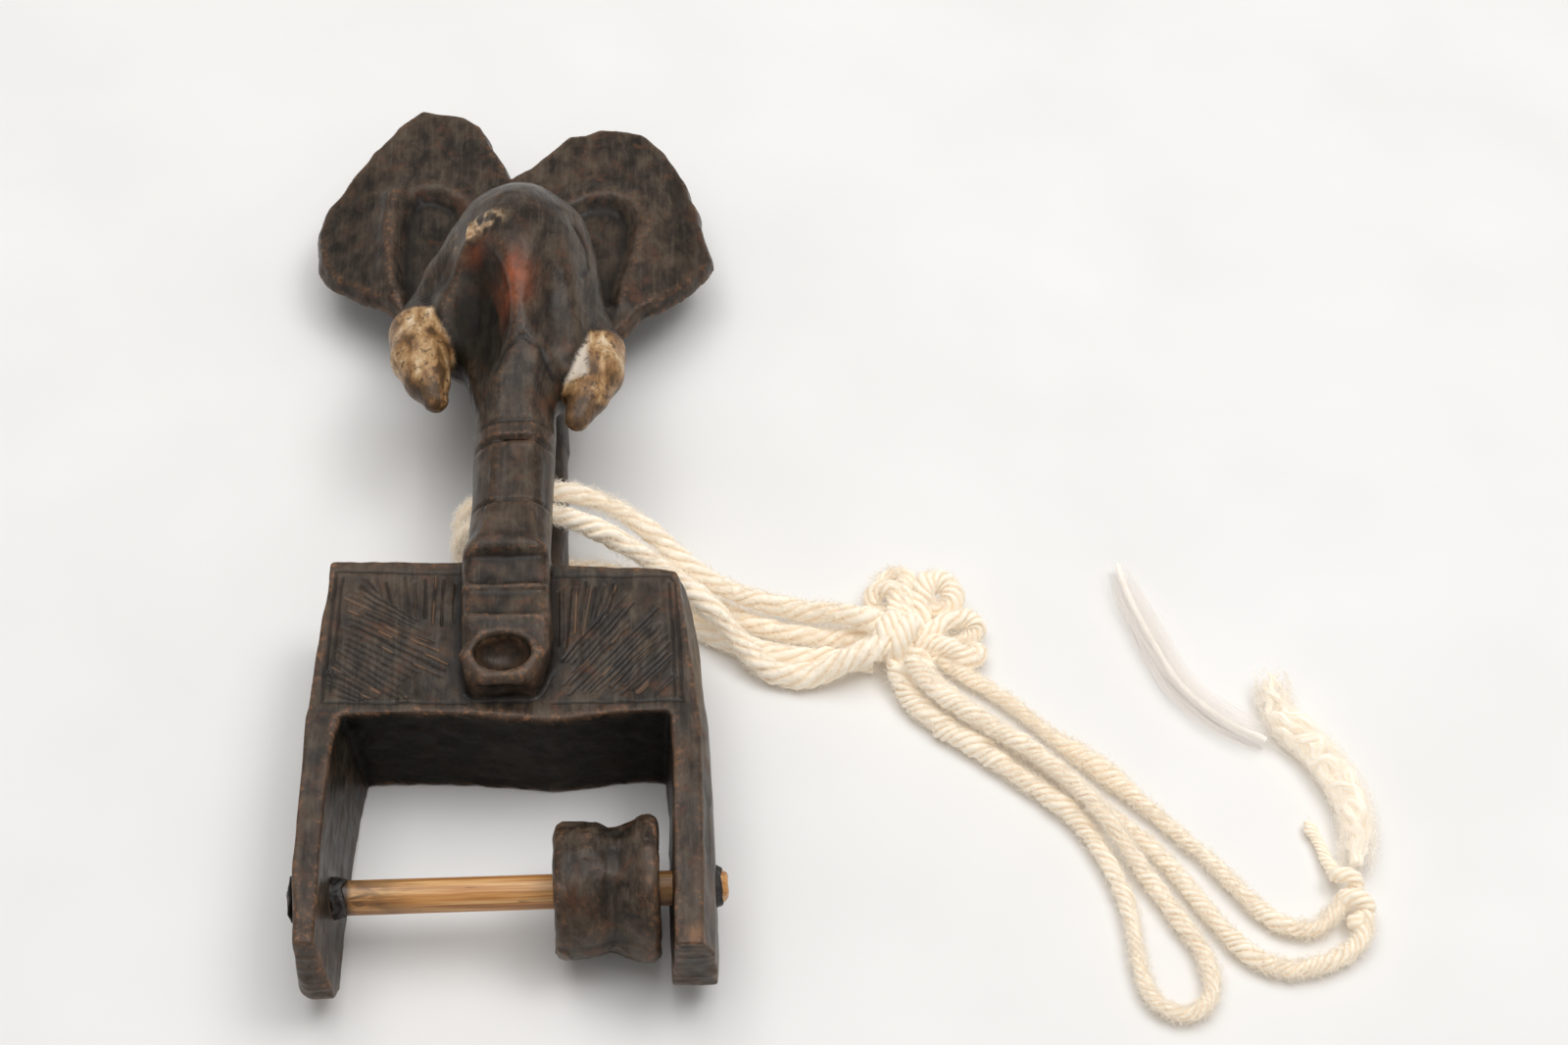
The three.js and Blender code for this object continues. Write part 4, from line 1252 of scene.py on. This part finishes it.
def tool_marks_and_painted_light(points, normals):
    """Masks that colour the carving: a painted highlight on a cut facet of the right tusk, rubbed skin,
    chopped ends, and painted shade under the crossbar, in the window, on the low parts of the neck and head
    and in the left cheek's hollow.
    """
    x, y, z = points.T
    # A painted highlight: the flat cut facet on the right tusk is made pale.
    facet = smoothstep(15.4, 14.0, x) * smoothstep(98.5, 100, y) * smoothstep(110.5, 109, y) * (x > 5)
    rub = np.exp(-((x - 1.4) / 2.8) ** 2 - ((y - 116.0) / 4.8) ** 2) * (z > 34)
    rub += 0.35 * np.exp(-((x + 6.5) / 2.4) ** 2 - ((y - 126.0) / 1.4) ** 2) * (z > 32)
    # Painted shade: the crossbar's underside and the window's inner sides are darkened where the legs and
    # bar shade them.
    window = (np.abs(x) < 29) & (y > -18) & (y < 32) & (z < FRONT - 0.6) & (normals[:, 2] < 0.5)
    painted_shade = smoothstep(-0.3, -0.8, normals[:, 1]) * (y > 22) * window
    painted_shade = painted_shade + 0.4 * window * (np.abs(normals[:, 0]) > 0.6)
    # Painted shade on the low parts of the neck and head, near the table.
    behind = (z < 16) & (y > 62)
    chopped_end = np.exp(-((x - 31) / 1.6) ** 2 - ((y - LEG_END - 0.2) / 1.5) ** 2) * (z > 22)
    chopped_end += 0.8 * (np.hypot(x + 0.2, (y - 36.2) * 1.3) < 4.6) * (z > 26) * (z < 31)
    # The left cheek's hollow is darkened as painted shade too.
    return {"painted_facet_highlight": facet, "rub": rub, "tan": chopped_end,
            "painted_shade": np.clip(painted_shade + 0.3 * behind + left_cheek(points), 0, 1)}


def sculpt_carving():
    """The carving's mesh: the field's surface, then the knife's work, then the fine lines on the panel."""
    grid = Grid(FIELD_LOW, FIELD_HIGH, FIELD_STEP)
    field = carving_field(grid).astype(np.float32)
    points, quads = surface_of(field, grid.low, FIELD_STEP)
    points = settle(points, field, grid.low, FIELD_STEP)
    piece = build_mesh("carving", points, quads, "carving")
    points, normals, edges = mesh_arrays(piece.data)
    write_points(piece, points + normals * knife_work(points, normals, edges)[:, None])
    mark_edges(piece)
    refine_panel(piece)

    points, normals, _ = mesh_arrays(piece.data)
    tan, pits = bare_patch(points)
    panel, fill = panel_grooves(points, normals)
    write_points(piece, points - normals * (0.25 * panel + 0.9 * pits - 0.25 * tan)[:, None])
    set_attribute(piece, "groove", np.maximum(np.maximum(panel, 0.7 * face_grooves(points, normals)), pits))
    set_attribute(piece, "fill", fill)
    set_attribute(piece, "paint", tusk_paint(points))
    set_attribute(piece, "chalk", tan)
    for name, mask in tool_marks_and_painted_light(points, normals).items():
        set_attribute(piece, name, mask)
    return piece


def horn_distance(points, route):
    """Distance from each point to the surface of a chain of round cones."""
    return functools.reduce(np.minimum, cone_distances(*points.T, route))


def wood_material(name, along=(1.0, 0.07, 1.0), streaks=0.45):
    """Old dark wood: grain, dusty streaks, red-brown patches and worn edges, with painted shade in its
    corners and shaded places.
    """
    r = Recipe(name)
    grain = r.noise(tuple(1.3 * a for a in along), detail=4, roughness=0.62)
    fine = r.noise(tuple(4.0 * a for a in along), detail=2)
    patch = r.noise(0.06, detail=4, roughness=0.6, distortion=0.3)
    blotch = r.noise(0.22, detail=4, roughness=0.65, distortion=0.5)
    mottle = r.noise((0.34, 0.2, 0.34), detail=5, roughness=0.6, distortion=0.4)
    speckle = r.noise(0.9, detail=3, roughness=0.6)
    wear, painted_shade = r.attribute("wear"), r.attribute("painted_shade")
    rubbed = r.math("MULTIPLY", wear, r.ramp(blotch, (0.35, 0.25), (0.62, 0.8)))
    bare = r.math("MULTIPLY", wear, r.ramp(speckle, (0.52, 0.0), (0.64, 0.8)))
    tan = r.math("MULTIPLY", r.attribute("tan"), r.ramp(mottle, (0.40, 0.2), (0.60, 1.0)))
    polish = r.math("MULTIPLY", r.attribute("rub"), r.ramp(blotch, (0.34, 0.35), (0.58, 1.0)))
    chalky = r.ramp(speckle, (0.4, (0.30, 0.17, 0.085)), (0.6, (0.62, 0.45, 0.28)))
    base = r.ramp(patch, (0.34, (0.018, 0.013, 0.009)), (0.5, (0.034, 0.023, 0.016)),
                  (0.68, (0.066, 0.043, 0.028)))
    # How strong each layer is and its colour, in the order in which they cover one another.
    for strength, colour in (
        (r.ramp(grain, (0.46, 0.0), (0.72, streaks)), (0.104, 0.084, 0.064)),
        (r.ramp(mottle, (0.50, 0.0), (0.70, 0.5)), (0.125, 0.094, 0.062)),
        (r.ramp(mottle, (0.34, 0.75), (0.48, 0.0)), (0.010, 0.007, 0.005)),
        (r.ramp(blotch, (0.54, 0.0), (0.70, 0.65)), (0.100, 0.042, 0.022)),
        # Painted shade: near black where the carving is shaded.
        (r.math("MULTIPLY", painted_shade, 0.8), (0.009, 0.009, 0.007)),
        (rubbed, (0.105, 0.066, 0.045)),
        (bare, (0.220, 0.105, 0.052)),
        (tan, (0.240, 0.130, 0.070)),
        # Painted shade in the inner corners.
        (r.ramp(r.attribute("crease_shade"), (0.0, 0.0), (1.0, 0.75)), (0.008, 0.007, 0.006)),
        (r.ramp(r.attribute("groove"), (0.15, 0.0), (0.8, 0.8)), (0.009, 0.007, 0.006)),
        (r.attribute("fill"), (0.38, 0.21, 0.11)),
        (polish, (0.320, 0.085, 0.034)),
        (r.attribute("chalk"), chalky),
        (r.math("MULTIPLY", r.attribute("paint"), 0.96), paint_colour(r, speckle)),
    ):
        base = r.mix(strength, base, colour)
    roughness = r.ramp(r.math("ADD", blotch, r.math("MULTIPLY", fine, 0.4)), (0.45, 0.26), (0.9, 0.44))
    relief = r.math("ADD", r.math("MULTIPLY", grain, 0.6), r.math("MULTIPLY", fine, 0.4))
    # Less specular where shade is painted, so those places stay dark.
    shine = r.math("SUBTRACT", 0.22, r.math("MULTIPLY", painted_shade, 0.18))
    r.set(Base_Color=base, Roughness=roughness, Specular_IOR_Level=shine, Normal=r.bump(relief, 0.12, 0.7))
    return r.material


def paint_colour(r, speckle):
    """Worn gold and cream paint, paler on one cut facet as a painted highlight, and stained brown in
    patches.
    """
    cloud = r.noise((0.26, 0.12, 0.26), detail=4, roughness=0.62, distortion=0.25)
    gold = r.ramp(cloud, (0.38, (0.090, 0.050, 0.022)), (0.47, (0.25, 0.130, 0.052)),
                  (0.58, (0.46, 0.29, 0.140)), (0.72, (0.78, 0.64, 0.46)))
    stain = r.ramp(speckle, (0.34, 0.85), (0.46, 0.0))
    # Painted highlight on the cut facet.
    gold = r.mix(r.math("MULTIPLY", r.attribute("painted_facet_highlight"), 0.8), gold, (0.70, 0.62, 0.52))
    return r.mix(stain, gold, (0.075, 0.042, 0.020))


# ---------------------------------------------------------------------------------------------------------
# The spool, the pin and the pitch
# ---------------------------------------------------------------------------------------------------------
SPOOL_LOW, SPOOL_HIGH = box_mm("spool")
SPOOL_FROM, SPOOL_TO = SPOOL_LOW[0], SPOOL_HIGH[0]
SPOOL_BORE = PIN_RADIUS + BORE_CLEARANCE
AROUND = 150                                       # points round a turned piece


def turned_mesh(name, profile, spacing, body, carve):
    """A ring turned on the axle from a closed (x, radius) profile; carve moves its points."""
    profile = np.array(profile + profile[:1], float)
    along = distance_along(profile)
    at = np.linspace(0, along[-1], round(along[-1] / spacing), endpoint=False)
    x, radius = (np.interp(at, along, profile[:, k])[:, None] for k in (0, 1))
    angle = np.arange(AROUND) * 2 * np.pi / AROUND
    points = np.stack(np.broadcast_arrays(x, radius * np.cos(angle), radius * np.sin(angle)), -1)
    points = carve(points.reshape(-1, 3)) + (0, 0, AXLE_HEIGHT)
    i, j = np.meshgrid(np.arange(len(at)), np.arange(AROUND), indexing="ij")
    here, there = i * AROUND, (i + 1) % len(at) * AROUND
    ahead = (j + 1) % AROUND
    quads = np.stack([here + j, here + ahead, there + ahead, there + j], -1).reshape(-1, 4)
    return build_mesh(name, points, quads, body)


def make_spool():
    """The spool: waisted in the middle, flared to the right, knife-cut all round and loose on the pin."""
    a, b = SPOOL_FROM, SPOOL_TO
    profile = [(a + 0.2, SPOOL_BORE), (a, 4), (a + 0.1, 9.6), (a + 0.6, 10.8), (a + 1.6, 11.2),
               (a + 5, 11.3), (a + 7.4, 11.0), (a + 9, 10.4), (a + 10.4, 10.5), (a + 12.2, 11.2),
               (a + 14, 12.0), (a + 15.4, 12.4), (a + 16.4, 12.4), (b - 0.3, 11.9), (b, 11.0), (b, 4),
               (b - 0.2, SPOOL_BORE)]

    def carve(points):
        out, spoke = outward(points)
        rough = 0.20 * knife_facets(points * (0.8, 1, 1), 4.2, 91) + 0.30 * value_noise(points, 5.0, 92)
        rough += 0.10 * value_noise(points * (1, 0.5, 0.5), 1.2, 93)
        ends = 0.25 * value_noise(points * (0, 1, 1), 2.6, 94) * smoothstep(5, 8, out)
        points = points + spoke * (rough * smoothstep(5, 9, out))[:, None]
        points[:, 0] += ends
        return points

    spool = turned_mesh("spool_carved", profile, 0.4, "spool", carve)
    mark_edges(spool)
    spool.data.materials.append(wood_material("spool_wood", along=(0.9, 0.2, 0.2), streaks=0.6))
    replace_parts(spool, "spool")


def make_pin():
    """The cane pin: nearly round, with fine fibres along it and worn ends."""
    low, high = PIN_LOW[0], PIN_HIGH[0]
    middle = np.arange(low + 1.4, high - 1.4, 0.5)
    x = np.concatenate([[low, low + 0.3, low + 0.8], middle, [high - 0.9, high - 0.3, high]])[:, None]
    radius = np.interp(x, [low, low + 0.8, high - 1.2, high - 0.3, high], [2.1, 2.93, 2.95, 2.5, 2.0])
    sides = 72
    angle = np.arange(sides) * 2 * np.pi / sides
    points = np.stack(np.broadcast_arrays(x, radius * np.cos(angle), radius * np.sin(angle)), -1)
    points = points.reshape(-1, 3)
    _, spoke = outward(points)
    fibres = 0.03 * value_noise(points * (0.05, 1, 1), 0.5, 95) - 0.03
    at_end = smoothstep(high - 1.6, high - 0.4, points[:, 0])
    at_end = at_end + smoothstep(low + 1.2, low + 0.2, points[:, 0])
    chipped = 0.3 * at_end * value_noise(points, 1.0, 96)
    points = points + spoke * (fibres - np.abs(chipped))[:, None]
    points[:, 0] += 0.3 * at_end * value_noise(points * (0, 1, 1), 1.3, 97)
    points = np.concatenate([points, [(low, 0, 0), (high, 0, 0)]]) + (0, 0, AXLE_HEIGHT)
    pin = build_mesh("cane_pin", points, tube_faces(len(x), sides), "axle")
    pin.data.materials.append(cane_material())
    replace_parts(pin, "axle_pin")


def cane_material():
    """Yellow cane with fine fibres along it, brown smears and black near its left end."""
    r = Recipe("split_cane")
    fibre = r.noise((0.05, 2.6, 2.6), detail=4, roughness=0.6)
    streak = r.noise((0.03, 0.8, 0.8), detail=3)
    stain = r.noise((0.14, 0.5, 0.5), detail=4, distortion=0.6)
    base = r.ramp(streak, (0.36, (0.37, 0.145, 0.038)), (0.5, (0.55, 0.26, 0.080)),
                  (0.66, (0.70, 0.42, 0.18)))
    base = r.mix(r.ramp(fibre, (0.48, 0.0), (0.68, 0.7)), base, (0.22, 0.085, 0.025))
    x = r.add("ShaderNodeSeparateXYZ")
    r.put(x.inputs["Vector"], r.place)
    left_end = r.add("ShaderNodeMapRange")
    r.put(left_end.inputs["Value"], x.outputs["X"])
    left_end.inputs["From Min"].default_value = -13 * MM
    left_end.inputs["From Max"].default_value = -26.5 * MM
    smear = r.math("MULTIPLY", left_end.outputs["Result"], r.ramp(stain, (0.42, 0.0), (0.56, 1.0)))
    caked = r.ramp(left_end.outputs["Result"], (0.86, 0.0), (0.97, 0.95))
    base = r.mix(r.math("MAXIMUM", r.math("MULTIPLY", smear, 0.85), caked), base, (0.024, 0.014, 0.009))
    base = r.mix(r.ramp(stain, (0.66, 0.0), (0.74, 0.6)), base, (0.10, 0.045, 0.018))
    r.set(Base_Color=base, Roughness=0.30, Specular_IOR_Level=0.5, Normal=r.bump(fibre, 0.10, 0.7))
    return r.material


def make_pitch(name, node, start, end, reach, seed):
    """Black pitch smeared round the pin where it leaves a leg: thick at the leg and thin at its far end."""
    bore = PIN_RADIUS + 0.1
    thick = end - start
    profile = [(start, bore), (start, reach), (start + 0.3 * thick, reach - 0.15),
               (start + 0.7 * thick, bore + 0.35), (end, bore + 0.15), (end, bore)]

    def carve(points):
        out, spoke = outward(points)
        lumps = 0.30 * value_noise(points, 1.8, seed) + 0.12 * value_noise(points, 0.6, seed + 1)
        points = points + spoke * (lumps * smoothstep(bore, bore + 0.5, out))[:, None]
        points[:, 0] += 0.25 * thick * value_noise(points * (0, 1, 1), 1.5, seed + 2)
        return points

    ring = turned_mesh(name, profile, 0.25, "carving", carve)
    ring.data.materials.append(pitch_material(name + "_black"))
    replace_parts(ring, node)


def pitch_material(name):
    """Black resin with brown crumbs of grime in it."""
    r = Recipe(name)
    crumbs = r.noise(1.2, detail=4, roughness=0.7)
    base = r.ramp(crumbs, (0.4, (0.008, 0.007, 0.006)), (0.62, (0.022, 0.017, 0.013)),
                  (0.74, (0.09, 0.05, 0.03)))
    roughness = r.ramp(crumbs, (0.4, 0.3), (0.7, 0.7))
    r.set(Base_Color=base, Roughness=roughness, Normal=r.bump(crumbs, 0.3, 0.8))
    return r.material


make_camera()
make_cord()
make_light()
make_table()
bpy.context.scene.view_settings.view_transform = "Standard"

carving = sculpt_carving()
carving.data.materials.append(wood_material("dark_carved_wood"))
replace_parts(carving, "carved_pulley")
make_spool()
make_pin()
make_pitch("pitch_left_inside", "pitch_left_inner", start=-28.8, end=-26.4, reach=3.6, seed=101)
make_pitch("pitch_left_outside", "pitch_left_outer", start=-35.4, end=-34.3, reach=4.0, seed=111)
make_pitch("pitch_right_outside", "pitch_right_outer", start=34.6, end=35.9, reach=3.9, seed=121)
